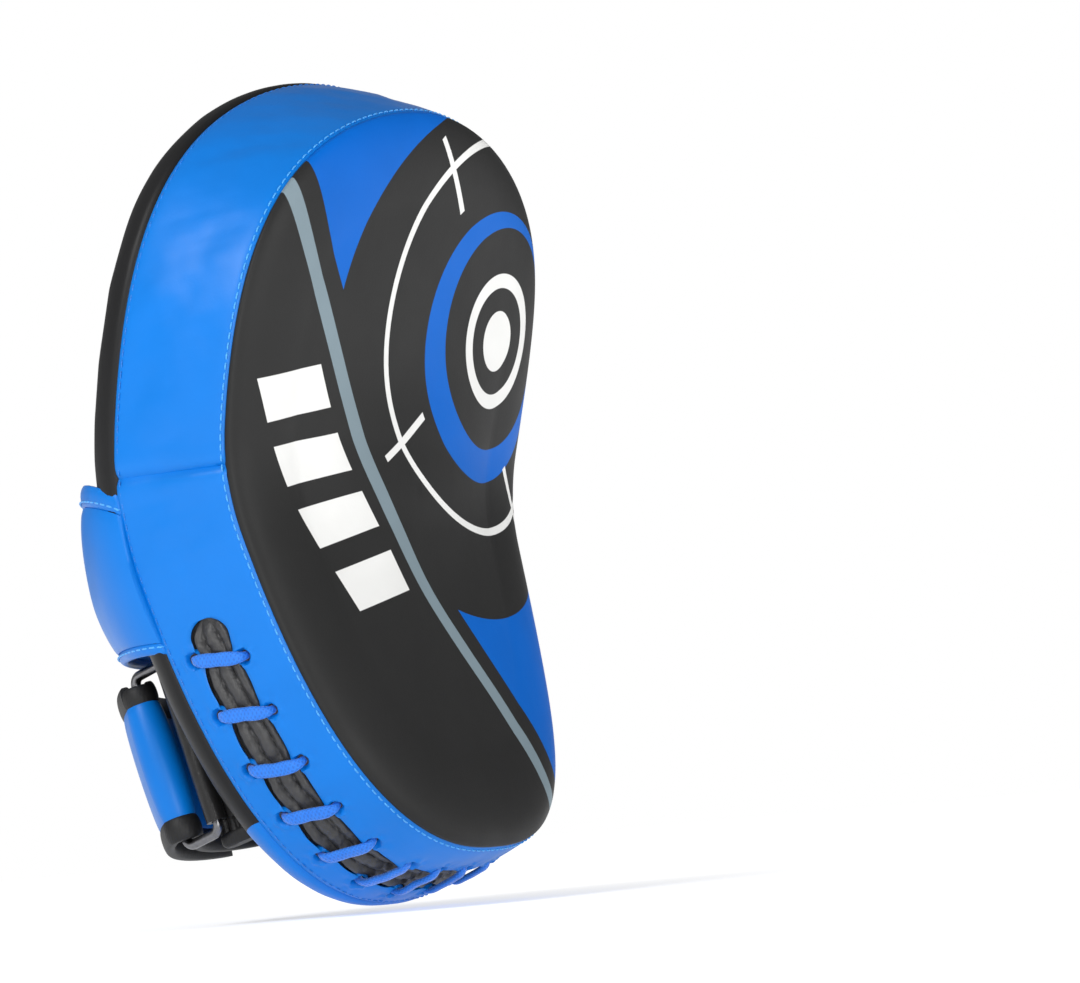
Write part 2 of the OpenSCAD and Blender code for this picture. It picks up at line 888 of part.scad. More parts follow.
module hook_patch() {
    color([0.1, 0.1, 0.1])
        along(-patch_half, patch_half)
        polygon(ribbon(arc_path(hook_r, hook_a0, hook_a1), patch_t - 2 * patch_gap));
}

module loop_patch() {
    color([0.2, 0.2, 0.2])
        along(-patch_half, patch_half)
        polygon(ribbon(arc_path(loop_r, hook_a0, loop_a1), patch_t - 2 * patch_gap));
}

// ---------- ring ----------

tab_wall = 1.6;
tab_r = wire_r + wire_gap + tab_wall;
tab_x = -(cuff_out + joint_gap + tab_r);
tab_v = 9;
tab_half = 27;
tab_foot = 1;
ring_half = half_bind + wire_gap + wire_r;
ring_round = 3.2;

// Rectangular wire ring with rounded corners, its fixed bar in the tab and its rear bar in the strap's fold
module strap_ring() {
    low = [tab_x, tab_v];
    reach = fold_centre - low;
    width = norm(reach);
    half = ring_half - ring_round;
    color("silver")
        at_wrist()
        translate(low)
        rotate([90, 0, atan2(reach.y, reach.x)])
        union() {
            for (x = [0, width])
                translate([x, 0])
                    rotate([90, 0, 0])
                    cylinder(r = wire_r, h = 2 * half, center = true, $fn = 48);
            for (y = [-ring_half, ring_half])
                translate([ring_round, y])
                    rotate([0, 90, 0])
                    cylinder(r = wire_r, h = width - 2 * ring_round, $fn = 48);
            for (k = [0 : 3])
                translate([k == 0 || k == 3 ? width - ring_round : ring_round, k < 2 ? half : -half])
                    rotate(k * 90)
                    rotate_extrude(angle = 90, $fn = 48)
                    translate([ring_round, 0]) circle(r = wire_r, $fn = 48);
        }
}

module ring_tab() {
    color(black)
        along(-tab_half, tab_half)
        translate([tab_x, tab_v])
        difference() {
            union() {
                circle(r = tab_r, $fn = 60);
                translate([tab_r - tab_wall, tab_foot - tab_v]) square([tab_wall, tab_v - tab_foot]);
            }
            circle(r = wire_r + wire_gap, $fn = 60);
        }
}

face_cover();
impact_foam();
core_foam();
rear_foam();
upper_side_band();
lower_side_band();
slot_gusset();
lace_cord();
back_panel();
heel_panel();
back_padding();
palm_grip();
finger_hood();
finger_lining();
finger_dividers();
finger_binding();
thumb_sleeve();
thumb_lining();
hand_cover();
cover_padding();
cover_lining();
cover_top_hem();
cover_bottom_hem();
cuff_pinky_skin();
cuff_thumb_skin();
cuff_foam();
cuff_lining();
cuff_binding();
strap_base();
strap_base_binding();
strap_fold();
strap_fold_binding();
strap_end();
strap_end_binding();
strap_tip();
strap_tip_binding();
hook_patch();
loop_patch();
strap_ring();
ring_tab();
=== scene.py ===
import math
import bmesh
import bpy
import numpy as np
from mathutils import Matrix, Vector


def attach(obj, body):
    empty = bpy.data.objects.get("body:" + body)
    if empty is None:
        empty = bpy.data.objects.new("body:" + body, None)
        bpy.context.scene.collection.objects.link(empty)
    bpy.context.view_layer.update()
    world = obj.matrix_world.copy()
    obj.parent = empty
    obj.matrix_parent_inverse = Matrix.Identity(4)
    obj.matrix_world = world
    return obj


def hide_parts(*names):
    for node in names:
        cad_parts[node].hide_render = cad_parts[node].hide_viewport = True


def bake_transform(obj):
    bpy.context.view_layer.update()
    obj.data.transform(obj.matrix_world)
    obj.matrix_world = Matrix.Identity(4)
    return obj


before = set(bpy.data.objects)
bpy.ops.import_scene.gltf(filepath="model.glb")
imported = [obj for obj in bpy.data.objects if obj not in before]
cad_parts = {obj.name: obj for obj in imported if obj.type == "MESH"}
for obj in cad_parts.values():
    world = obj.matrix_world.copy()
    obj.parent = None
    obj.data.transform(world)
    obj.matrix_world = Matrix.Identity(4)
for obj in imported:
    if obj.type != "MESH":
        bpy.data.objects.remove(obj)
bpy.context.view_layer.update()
MM = 0.001

# ---------- the pad's shape, in mm, as in part.scad ----------
# Lengths above and below the palm line, and how round the two ends are
TOP_LEN, BOTTOM_LEN = 132.0, 131.0
TOP_ROUND, HEEL_ROUND = 1.12, 0.8
# Bend: its radius near the palm line, how far that reaches, and the radius beyond
PALM_R, PALM_S, TIP_R = 85.0, 18.0, 700.0
# Side band's width and thickness, then the height, reach and extra reach of the back's rolled edge
BAND_W, BAND_T, ROLL_H, ROLL_IN, ROLL_MORE = 43.0, 1.5, 15.0, 18.0, 10.0
BACK_N = BAND_W + ROLL_H
# Face: height and reach of its edge, its dome, and its bridge over the bend
CROWN_H, CROWN_IN, DOME_H = 8.0, 32.0, 3.0
BRIDGE_H, BRIDGE_S = 5.0, 30.0
# Places of the band's joint, the heel seam and the wrist
JOINT_S, HEEL_CUT, WRIST_S = 5.0, -100.0, -66.0
# The laced half: all of it below the first place, none above the second
LACED_BELOW, LACED_ABOVE = -36, 6
# Slot: its middle line and half width, its reach to each side, then the lace's holes and crossings
SLOT_N, SLOT_HALF = 25.0, 5.8
SLOT_PINKY, SLOT_THUMB = 145.0, 129.0
HOLE_OFF, CROSSINGS, PITCH, FIRST = 9.0, 14, 19.5, 13.5
# The hand cover's arch
ARCH_H, ARCH_POWER = 54.0, 1.7


def spow(v, e):
    """Power that keeps the sign."""
    return np.sign(v) * np.abs(v) ** e


def smooth(a, b, v):
    u = np.clip((v - a) / (b - a), 0, 1)
    return u * u * (3 - 2 * u)


def outline(t):
    """Point (x, s) of the pad's outline at t degrees: 0 thumb side, 90 finger end."""
    r = np.radians(t)
    upper = np.sin(r) >= 0
    s = np.where(upper, TOP_LEN, BOTTOM_LEN) * np.sin(r)
    w = 98 + 0.15 * s + 0.0018 * s * s + 4e-6 * s**3
    return np.stack([w * spow(np.cos(r), np.where(upper, TOP_ROUND, HEEL_ROUND)), s], -1)


def inset(t, d):
    """Outline point moved inwards by d."""
    step = outline(t + 0.5) - outline(t - 0.5)
    normal = np.stack([step[..., 1], -step[..., 0]], -1)
    normal /= np.linalg.norm(normal, axis=-1, keepdims=True)
    return outline(t) - np.asarray(d)[..., None] * normal


def bent(x, s, n):
    """Pad coordinates to place: x across, s along the front seam, n behind it."""
    x, s, n = np.broadcast_arrays(np.asarray(x, float), s, n)
    a = np.abs(s)
    t0 = np.minimum(a, PALM_S) / PALM_R
    t1 = t0 + np.maximum(a - PALM_S, 0) / TIP_R
    z = PALM_R * np.sin(t0) + TIP_R * (np.sin(t1) - np.sin(t0))
    y = -PALM_R * (1 - np.cos(t0)) - TIP_R * (np.cos(t0) - np.cos(t1))
    side = np.where(s < 0, -1, 1)
    return np.stack([x, y + n * np.cos(t1) - BACK_N, side * (z + n * np.sin(t1))], -1)


def tilt(s):
    """Lean of the pad at s, in radians."""
    return min(abs(s), PALM_S) / PALM_R + max(abs(s) - PALM_S, 0) / TIP_R


def run_of(path):
    """Distance along a path at each of its points."""
    return np.concatenate([[0], np.cumsum(np.linalg.norm(np.diff(path, axis=0), axis=1))])


# The outline's length, for even columns and for distances along the band
FINE = np.linspace(0, 360, 7201)
RUN = run_of(outline(FINE))
HEEL_RUN = np.interp(270, FINE, RUN)


def arc_t(a):
    """Angle t at the distance a from the heel middle, positive towards the little finger."""
    return np.interp(np.mod(HEEL_RUN - np.asarray(a), RUN[-1]), RUN, FINE)


def t_arc(t):
    return HEEL_RUN - np.interp(t, FINE, RUN)


def on_band(a, n, d):
    a, n, d = np.broadcast_arrays(np.asarray(a, float), n, d)
    p = inset(arc_t(a), d)
    return bent(p[..., 0], p[..., 1], n)


def laced(t):
    """Share of the laced half at the angle t: 1 at the heel, 0 at the finger end."""
    return 1 - smooth(LACED_BELOW, LACED_ABOVE, outline(t)[..., 1])


def ripple(p, size, seed):
    """Smooth, repeatable unevenness, mostly between -1 and 1, with bumps about size mm apart."""
    rng = np.random.default_rng(seed)
    total = np.zeros(p.shape[:-1])
    for _ in range(7):
        k = rng.normal(size=3)
        k *= 2 * np.pi / size * rng.uniform(0.6, 1.4) / np.linalg.norm(k)
        total += np.sin(p @ k + rng.uniform(0, 6.28))
    return total / 3.5


# ---------- wrist frame: X across, Y off the back panel, Z along the pad ----------
WRIST_O = bent(0, WRIST_S, BACK_N)
WRIST_T = tilt(WRIST_S)
WRIST_AXES = np.array([
    [1, 0, 0],
    [0, math.cos(WRIST_T), -math.sin(WRIST_T)],
    [0, math.sin(WRIST_T), math.cos(WRIST_T)],
])


def wrist(p):
    return np.asarray(p, float) @ WRIST_AXES + WRIST_O


# ---------- mesh helpers ----------
def linked(name, data):
    obj = bpy.data.objects.new(name, data)
    bpy.context.scene.collection.objects.link(obj)
    return obj


def to_object(name, verts, faces, uv=None, sharp=40, merge=0):
    mesh = bpy.data.meshes.new(name)
    mesh.from_pydata((np.asarray(verts) * MM).tolist(), [], faces)
    if uv is not None:
        layer = mesh.uv_layers.new(name="flat")
        loops = np.zeros(len(mesh.loops), int)
        mesh.loops.foreach_get("vertex_index", loops)
        layer.data.foreach_set("uv", (np.asarray(uv) * MM)[loops].astype(np.float32).ravel())
    obj = linked(name, mesh)
    bm = bmesh.new()
    bm.from_mesh(mesh)
    if merge:
        bmesh.ops.remove_doubles(bm, verts=bm.verts, dist=merge * MM)
        bmesh.ops.dissolve_degenerate(bm, edges=bm.edges, dist=1e-7)
    bmesh.ops.recalc_face_normals(bm, faces=bm.faces)
    bm.to_mesh(mesh)
    bm.free()
    shade(obj, sharp)
    return obj


def shade(obj, sharp):
    obj.data.shade_smooth()
    obj.data.set_sharp_from_angle(angle=math.radians(sharp))


def grid_faces(rows, cols, wrap_cols=True, base=0):
    rr, cc = np.meshgrid(np.arange(rows - 1), np.arange(cols if wrap_cols else cols - 1), indexing="ij")
    r2, c2 = rr + 1, (cc + 1) % cols
    quads = np.stack([rr * cols + cc, rr * cols + c2, r2 * cols + c2, r2 * cols + cc], -1)
    return (quads.reshape(-1, 4) + base).tolist()


def capped(name, rings, first, last, uv=None, **kw):
    """Solid from rings (rows, columns, 3) that start and end at a middle point."""
    rows, cols = rings.shape[:2]
    verts = np.concatenate([rings.reshape(-1, 3), [first, last]])
    a, b = rows * cols, rows * cols + 1
    faces = grid_faces(rows, cols)
    faces += [[a, (i + 1) % cols, i] for i in range(cols)]
    faces += [[b, (rows - 1) * cols + i, (rows - 1) * cols + (i + 1) % cols] for i in range(cols)]
    if uv is not None:
        uv = np.concatenate([uv.reshape(-1, 2), np.zeros((2, 2))])
    return to_object(name, verts, faces, uv, **kw)


def tube_faces(rows, cols):
    """Faces of a tube of closed sections, with one over each end."""
    ends = [list(range(cols))[::-1], [(rows - 1) * cols + i for i in range(cols)]]
    return grid_faces(rows, cols) + ends


def swept(name, sections, uv=None, **kw):
    """Solid from closed sections (rows, points, 3) along a path."""
    return to_object(name, sections.reshape(-1, 3), tube_faces(*sections.shape[:2]), uv, **kw)


def shell(name, outer, inner, **kw):
    """Solid between two sheets of points (rows, columns, 3)."""
    rows, cols = outer.shape[:2]
    n = rows * cols
    verts = np.concatenate([outer.reshape(-1, 3), inner.reshape(-1, 3)])
    faces = grid_faces(rows, cols, wrap_cols=False)
    faces += [f[::-1] for f in grid_faces(rows, cols, wrap_cols=False, base=n)]
    edge = [(0, i) for i in range(cols)] + [(r, cols - 1) for r in range(1, rows)]
    edge += [(rows - 1, i) for i in range(cols - 2, -1, -1)] + [(r, 0) for r in range(rows - 2, 0, -1)]
    ids = [r * cols + c for r, c in edge]
    for i, j in zip(ids, ids[1:] + ids[:1]):
        faces.append([i, j, j + n, i + n])
    return to_object(name, verts, faces, **kw)


def joined(name, parts):
    """One object from several (verts, faces) lists."""
    verts, faces = [], []
    for v, f in parts:
        base = len(verts)
        verts += np.asarray(v).tolist()
        faces += [[i + base for i in face] for face in f]
    return to_object(name, np.array(verts), faces)


def taken(obj):
    """Verts (mm) and faces of an object, which is removed."""
    mesh = [tuple(v.co / MM) for v in obj.data.vertices], [list(f.vertices) for f in obj.data.polygons]
    bpy.data.objects.remove(obj)
    return mesh


def unit(v):
    return v / np.linalg.norm(v, axis=-1, keepdims=True)


def tube_mesh(path, radius, sides, start):
    """Verts and faces of a round tube along a path of points, with closed ends."""
    path = np.asarray(path, float)
    d = unit(np.gradient(path, axis=0))
    u = np.array(start, float)
    rings = []
    radius = np.broadcast_to(radius, len(path))
    angle = np.arange(sides) * 2 * np.pi / sides
    for p, direction, r in zip(path, d, radius):
        u = unit(u - (u @ direction) * direction)
        w = np.cross(direction, u)
        rings.append(p + r * (np.cos(angle)[:, None] * u + np.sin(angle)[:, None] * w))
    return np.array(rings).reshape(-1, 3), tube_faces(len(path), sides)


def spline(points, per):
    """Catmull-Rom curve through points, with per samples between each pair."""
    p = np.asarray(points, float)
    p = np.concatenate([[2 * p[0] - p[1]], p, [2 * p[-1] - p[-2]]])
    out = []
    for i in range(1, len(p) - 2):
        a, b, c, d = p[i - 1:i + 3]
        for t in np.arange(per) / per:
            out.append(0.5 * (2 * b + (c - a) * t + (2 * a - 5 * b + 4 * c - d) * t**2
                              + (3 * b - a - 3 * c + d) * t**3))
    out.append(p[-2])
    return np.array(out)


# A stitch's points, as shares of its length from its middle, and its girth there
STITCH_SHARES = (-0.5, -0.42, -0.2, 0.0, 0.2, 0.42, 0.5)
STITCH_GIRTH = np.array([0.5, 0.85, 1, 1, 1, 0.85, 0.5])


def stitches(name, line, lift, pitch, length, radius):
    """A row of thread stitches along a line of points; lift holds the surface's outward directions."""
    run = run_of(line)
    count = int(run[-1] / pitch)
    parts = []

    def at(values, x):
        return np.array([np.interp(x, run, values[:, k]) for k in range(3)])

    for i in range(count):
        c = (i + 0.5) * run[-1] / count
        steps = []
        for q in STITCH_SHARES:
            x = np.clip(c + q * length, 0, run[-1])
            high = radius * (0.9 - 7.2 * q * q * abs(q))
            steps.append(at(line, x) + unit(at(lift, x)) * high)
        parts.append(tube_mesh(steps, radius * STITCH_GIRTH, 6, start=unit(at(lift, c)) + 0.01))
    return joined(name, parts)


# ---------- materials ----------
class Nodes:
    """Short names for building the nodes of a material or the world."""

    def __init__(self, owner):
        if isinstance(owner, str):
            owner = bpy.data.materials.new(owner)
        owner.use_nodes = True
        self.owner = owner
        self.tree = owner.node_tree

    def new(self, kind, **props):
        node = self.tree.nodes.new("ShaderNode" + kind)
        for k, v in props.items():
            setattr(node, k, v)
        return node

    def link(self, value, socket):
        if isinstance(value, (int, float)):
            socket.default_value = value
        elif isinstance(value, (tuple, list)):
            socket.default_value = value if len(value) == len(socket.default_value) else (*value, 1)
        else:
            self.tree.links.new(value, socket)

    def math(self, op, a, b=0.0, c=0.0, clamp=False):
        node = self.new("Math", operation=op, use_clamp=clamp)
        for i, v in enumerate((a, b, c)):
            self.link(v, node.inputs[i])
        return node.outputs[0]

    def vec(self, op, a, b=(0, 0, 0)):
        node = self.new("VectorMath", operation=op)
        self.link(a, node.inputs[0])
        self.link(b, node.inputs[1])
        return node.outputs["Value"] if op in ("DOT_PRODUCT", "DISTANCE", "LENGTH") else node.outputs[0]

    def mix(self, factor, a, b):
        node = self.new("Mix", data_type="RGBA")
        self.link(factor, node.inputs[0])
        self.link(a, node.inputs[6])
        self.link(b, node.inputs[7])
        return node.outputs[2]

    def place(self, kind="Object"):
        return self.new("TexCoord").outputs[kind]

    def noise(self, size_mm, detail=2.0, rough=0.5):
        node = self.new("TexNoise")
        self.link(self.place(), node.inputs["Vector"])
        node.inputs["Scale"].default_value = 1000.0 / size_mm
        node.inputs["Detail"].default_value = detail
        node.inputs["Roughness"].default_value = rough
        return node.outputs["Fac"]

    def cells(self, size_mm, feature="F1"):
        node = self.new("TexVoronoi", feature=feature)
        self.link(self.place(), node.inputs["Vector"])
        node.inputs["Scale"].default_value = 1000.0 / size_mm
        return node.outputs["Distance"]

    def wave(self, size_mm, direction, vector=None):
        node = self.new("TexWave", bands_direction=direction)
        self.link(vector if vector is not None else self.place(), node.inputs["Vector"])
        node.inputs["Scale"].default_value = 100 * math.pi / size_mm
        return node.outputs["Fac"]

    def bump(self, height, strength, depth_mm, normal=None):
        node = self.new("Bump")
        node.inputs["Strength"].default_value = strength
        node.inputs["Distance"].default_value = depth_mm * MM
        self.link(height, node.inputs["Height"])
        if normal is not None:
            self.link(normal, node.inputs["Normal"])
        return node.outputs[0]

    def ramp(self, value, near, far, low, high):
        """Smooth step from low, where value is near, to high, where it is far."""
        node = self.new("MapRange", interpolation_type="SMOOTHSTEP")
        self.link(value, node.inputs["Value"])
        for key, number in zip(("From Min", "From Max", "To Min", "To Max"), (near, far, low, high)):
            node.inputs[key].default_value = number
        return node.outputs[0]

    def finish(self, **sockets):
        bsdf = self.tree.nodes["Principled BSDF"]
        for name, value in sockets.items():
            self.link(value, bsdf.inputs[name.replace("_", " ")])
        return self.owner


def lin(*rgb):
    """Linear colour from an sRGB one of 0 to 255."""
    shares = (c / 255 for c in rgb)
    return tuple(c / 12.92 if c <= 0.04045 else ((c + 0.055) / 1.055) ** 2.4 for c in shares)


def scaled(color, k):
    return tuple(k * c for c in color)


BLUE = lin(0, 108, 195)
PRINT_BLUE = lin(0, 92, 184)
BLACK = lin(38, 38, 38)
GREY = lin(118, 134, 142)
WHITE = lin(220, 220, 218)
LEATHER_TONES = lin(14, 14, 15), lin(34, 33, 33)
PLEAT_TONES = lin(26, 26, 27), lin(62, 62, 63)


def vinyl_finish(m, color, rough, shine):
    """Soft semi-matte vinyl: fine pebble, faint creases, and a little unevenness in colour and gloss."""
    cloud = m.noise(38, 3)
    fine = m.noise(0.9, 3)
    pebble = m.cells(0.75, "SMOOTH_F1")
    tone = m.math("MULTIPLY_ADD", cloud, 0.22, 0.89)
    shaded = m.new("VectorMath", operation="SCALE")
    m.link(color, shaded.inputs[0])
    m.link(tone, shaded.inputs["Scale"])
    gloss = m.math("MULTIPLY_ADD", m.noise(17, 2), 0.12, rough - 0.06)
    gloss = m.math("MULTIPLY_ADD", fine, 0.05, gloss)
    normal = m.bump(m.noise(26, 2), 0.18, 1.2)
    normal = m.bump(pebble, 0.10, 0.14, normal)
    normal = m.bump(fine, 0.10, 0.10, normal)
    return m.finish(Base_Color=shaded.outputs[0], Roughness=gloss, Normal=normal, Specular_IOR_Level=shine)


# The printed design on the flat cover, in mm: places are (x, s), circles (x, s, radius)
INK_EDGE = 0.22
FIELD_WIDTH, FIELD_ARC = 14.5, (41, 45.5, 95)
CRESCENT, CRESCENT_HOLE = (57, 54, 50), (61.5, 58.0, 40.5)
TARGET, TARGET_R, TARGET_HALF = (53.0, 57.0), 73.0, 1.5
TICKS, TICK_MIDDLE, TICK_REACH, TICK_HALF = (38, 127, 213, 302), 70, 16, 1.45
EYE, EYE_R, EYE_RING_R, EYE_RING_HALF = (61.0, 57.0), 11, 22, 2.6
DASH_START, DASH_DOWN, DASH_ACROSS = (-75.0, 35.0), (0.482, -0.876), (0.876, 0.482)
DASHES, DASH_FIRST, DASH_PITCH, DASH_HALF, DASH_REACH, DASH_SLANT = 4, 5, 25.5, 8.0, 16.5, -0.3
STRIPE_HALF = 3.9
# Points (s, x) of the grey stripe's line, and the span that its curve covers
STRIPE = [(-135, 60), (-114, 47.5), (-89, 33.5), (-60, 13), (-30, -9), (0, -26), (30, -42),
          (60, -61), (85, -78.5), (105, -90), (135, -108)]
SPAN_S, SPAN_X = (-135.0, 135.0), (-110.0, 60.0)


def print_material():
    """The strike face's ink: fields and lines set out on the flat cover, x across and s along it, in mm."""
    m = Nodes("face_print")
    uv = m.new("UVMap", uv_map="flat").outputs[0]
    flat = m.vec("SCALE", uv)
    flat.node.inputs["Scale"].default_value = 1000.0
    split = m.new("SeparateXYZ")
    m.link(flat, split.inputs[0])
    x, s = split.outputs[0], split.outputs[1]

    def inside(distance):
        return m.math("MULTIPLY_ADD", distance, -1 / INK_EDGE, 0.5, clamp=True)

    def outside(distance):
        return m.math("SUBTRACT", 1.0, inside(distance))

    def within(value, half):
        return inside(m.math("SUBTRACT", m.math("ABSOLUTE", value), half))

    def circle(cx, cs, r):
        return m.math("SUBTRACT", m.vec("DISTANCE", flat, (cx, cs, 0)), r)

    def along(way, origin):
        start = way[0] * origin[0] + way[1] * origin[1]
        return m.math("SUBTRACT", m.vec("DOT_PRODUCT", flat, (*way, 0)), start)

    def both(a, b):
        return m.math("MULTIPLY", a, b)

    def either(first, *rest):
        for part in rest:
            first = m.math("MAXIMUM", first, part)
        return first

    def tick(angle):
        c, n = math.cos(math.radians(angle)), math.sin(math.radians(angle))
        out = m.math("SUBTRACT", along((c, n), TARGET), TICK_MIDDLE)
        return both(within(out, TICK_REACH), within(along((-n, c), TARGET), TICK_HALF))

    # the stripe's x for each s
    curve = m.new("FloatCurve")
    length_s, length_x = SPAN_S[1] - SPAN_S[0], SPAN_X[1] - SPAN_X[0]
    points = curve.mapping.curves[0].points
    spots = [((a - SPAN_S[0]) / length_s, (b - SPAN_X[0]) / length_x) for a, b in STRIPE]
    points[0].location, points[1].location = spots[0], spots[-1]
    for spot in spots[1:-1]:
        points.new(*spot)
    curve.mapping.update()
    m.link(m.math("MULTIPLY_ADD", s, 1 / length_s, -SPAN_S[0] / length_s), curve.inputs["Value"])
    off = m.math("SUBTRACT", x, m.math("MULTIPLY_ADD", curve.outputs[0], length_x, SPAN_X[0]))

    field = both(inside(m.math("SUBTRACT", FIELD_WIDTH, off)), outside(circle(*FIELD_ARC)))
    crescent = both(inside(circle(*CRESCENT)), outside(circle(*CRESCENT_HOLE)))
    ring = within(circle(*TARGET, TARGET_R), TARGET_HALF)
    ticks = either(*[tick(angle) for angle in TICKS])
    # a plain bull's eye in the middle of the target
    bull = either(inside(circle(*EYE, EYE_R)), within(circle(*EYE, EYE_RING_R), EYE_RING_HALF))
    # four plain slanted bars beside the stripe
    across = along(DASH_ACROSS, DASH_START)
    down = m.math("MULTIPLY_ADD", across, DASH_SLANT, along(DASH_DOWN, DASH_START))
    places = [m.math("SUBTRACT", down, DASH_FIRST + DASH_PITCH * i) for i in range(DASHES)]
    dashes = both(either(*[within(place, DASH_HALF) for place in places]), within(across, DASH_REACH))

    color = m.mix(field, BLACK, PRINT_BLUE)
    color = m.mix(crescent, color, PRINT_BLUE)
    color = m.mix(within(off, STRIPE_HALF), color, GREY)
    color = m.mix(either(ring, ticks, bull, dashes), color, WHITE)
    return vinyl_finish(m, color, 0.44, 0.12)


def fabric(name, color, size):
    """Woven or knitted cloth: two crossed wave sets in the object's own space."""
    m = Nodes(name)
    weave = m.math("MAXIMUM", m.wave(size, "X"), m.wave(size, "Z"))
    tone = m.mix(weave, scaled(color, 0.55), color)
    pale = tuple(min(1, 1.9 * c + 0.004) for c in color)
    tone = m.mix(m.math("MULTIPLY", m.noise(9, 3), 0.35), tone, pale)
    return m.finish(Base_Color=tone, Roughness=0.85, Normal=m.bump(weave, 0.6, 0.25),
                    Sheen_Weight=0.25, Sheen_Roughness=0.5)


def webbing(name, color):
    """Ribbed tape."""
    m = Nodes(name)
    fine = m.noise(1.1, 4, 0.6)
    height = m.math("MULTIPLY_ADD", m.wave(1.0, "Y"), 0.3, fine)
    return m.finish(Base_Color=m.mix(fine, scaled(color, 0.6), color), Roughness=0.55,
                    Specular_IOR_Level=0.35, Normal=m.bump(height, 0.4, 0.2))


def braid(name):
    """Braided lace: crossed diagonal strands along the cord's own length and girth."""
    m = Nodes(name)
    uv = m.new("UVMap", uv_map="flat").outputs[0]
    waves = []
    for lean in (1, -1):
        turned = m.new("Mapping")
        m.link(uv, turned.inputs[0])
        turned.inputs["Rotation"].default_value = (0, 0, lean * math.radians(38))
        waves.append(m.wave(1.1, "X", turned.outputs[0]))
    height = m.math("MAXIMUM", *waves)
    tone = m.mix(height, lin(2, 84, 176), lin(10, 106, 210))
    tone = m.mix(m.math("MULTIPLY", m.noise(3, 3), 0.35), tone, lin(40, 136, 228))
    return m.finish(Base_Color=tone, Roughness=0.62, Normal=m.bump(height, 0.6, 0.25),
                    Sheen_Weight=0.3, Sheen_Roughness=0.4)


def thread(name, color):
    """Twisted sewing thread."""
    m = Nodes(name)
    twist = m.wave(0.45, "DIAGONAL")
    return m.finish(Base_Color=m.mix(twist, scaled(color, 0.7), color), Roughness=0.5,
                    Normal=m.bump(twist, 0.5, 0.08), Sheen_Weight=0.2, Sheen_Roughness=0.4)


def creased(name, size, rough, tones, gloss, shine, depth, grain):
    """Soft leather or shiny pleats: creases about size mm apart over a grain of (size, strength)."""
    m = Nodes(name)
    crease = m.noise(size, 5, rough)
    fine = m.bump(m.cells(grain[0], "SMOOTH_F1"), grain[1], 0.15)
    return m.finish(Base_Color=m.mix(crease, *tones), Specular_IOR_Level=shine,
                    Roughness=m.math("MULTIPLY_ADD", crease, 0.2, gloss),
                    Normal=m.bump(crease, depth, 0.8, fine))


def steel(name):
    """Worn wire, with fine scratches."""
    m = Nodes(name)
    scratch = m.noise(1.4, 4, 0.7)
    return m.finish(Base_Color=m.mix(scratch, (0.10, 0.10, 0.105), (0.26, 0.26, 0.27)), Metallic=1.0,
                    Roughness=m.math("MULTIPLY_ADD", scratch, 0.2, 0.2), Normal=m.bump(scratch, 0.05, 0.05))


def fuzz(name, color, size):
    """Hook or loop face, with hairs about size mm apart."""
    m = Nodes(name)
    hair = m.noise(size, 5, 0.8)
    return m.finish(Base_Color=m.mix(hair, scaled(color, 0.5), scaled(color, 1.8)), Roughness=0.95,
                    Normal=m.bump(hair, 1.0, 0.5), Sheen_Weight=0.5, Sheen_Roughness=0.3)


def foam(name, color):
    m = Nodes(name)
    pores = m.cells(0.8)
    return m.finish(Base_Color=m.mix(pores, scaled(color, 0.6), color), Roughness=0.95,
                    Normal=m.bump(pores, 0.6, 0.3))


MAT = {
    "print": print_material(),
    "blue": vinyl_finish(Nodes("vinyl_blue"), BLUE, 0.38, 0.24),
    "black": vinyl_finish(Nodes("vinyl_black"), lin(22, 22, 23), 0.45, 0.22),
    "leather": creased("leather_black", 7, 0.62, LEATHER_TONES, 0.26, 0.4, 0.4, (0.8, 0.25)),
    "pleat": creased("pleat_black", 3.5, 0.65, PLEAT_TONES, 0.3, 0.5, 0.7, (0.7, 0.3)),
    "lace": braid("lace_braid"),
    "sky": thread("thread_sky", lin(70, 166, 240)),
    "ink": thread("thread_black", lin(24, 24, 26)),
    "band_thread": thread("thread_blue", lin(0, 112, 204)),
    "mesh": fabric("lining_mesh", lin(28, 28, 30), 1.3),
    "tape": webbing("tape_black", lin(25, 25, 26)),
    "hook": fuzz("hook_black", lin(22, 22, 23), 0.5),
    "loop": fuzz("loop_black", lin(26, 26, 28), 1.4),
    "steel": steel("ring_steel"),
    "foam": foam("foam_grey", lin(120, 122, 126)),
    "dense": foam("foam_dark", lin(70, 70, 73)),
}


def dress(obj, material, body="pad", replaces=()):
    """Gives a piece its finish and its body, and hides the CAD nodes that it replaces; a piece given no
    single body is only baked in place.
    """
    obj.data.materials.clear()
    obj.data.materials.append(MAT[material])
    if replaces:
        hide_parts(*replaces)
    if isinstance(body, str):
        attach(obj, body)
    else:
        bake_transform(obj)
    return obj


# ---------- strike face ----------
COLS = 420
T = np.interp(np.linspace(0, RUN[-1], COLS, endpoint=False), RUN, FINE)


def rim_rows(rows):
    """Rings of the pad at the given (inset, n) pairs."""
    out, flat = [], []
    for d, n in rows:
        p = inset(T, np.full(COLS, float(d)) if np.isscalar(d) else d)
        out.append(bent(p[:, 0], p[:, 1], n))
        flat.append(p)
    return np.array(out), np.array(flat)


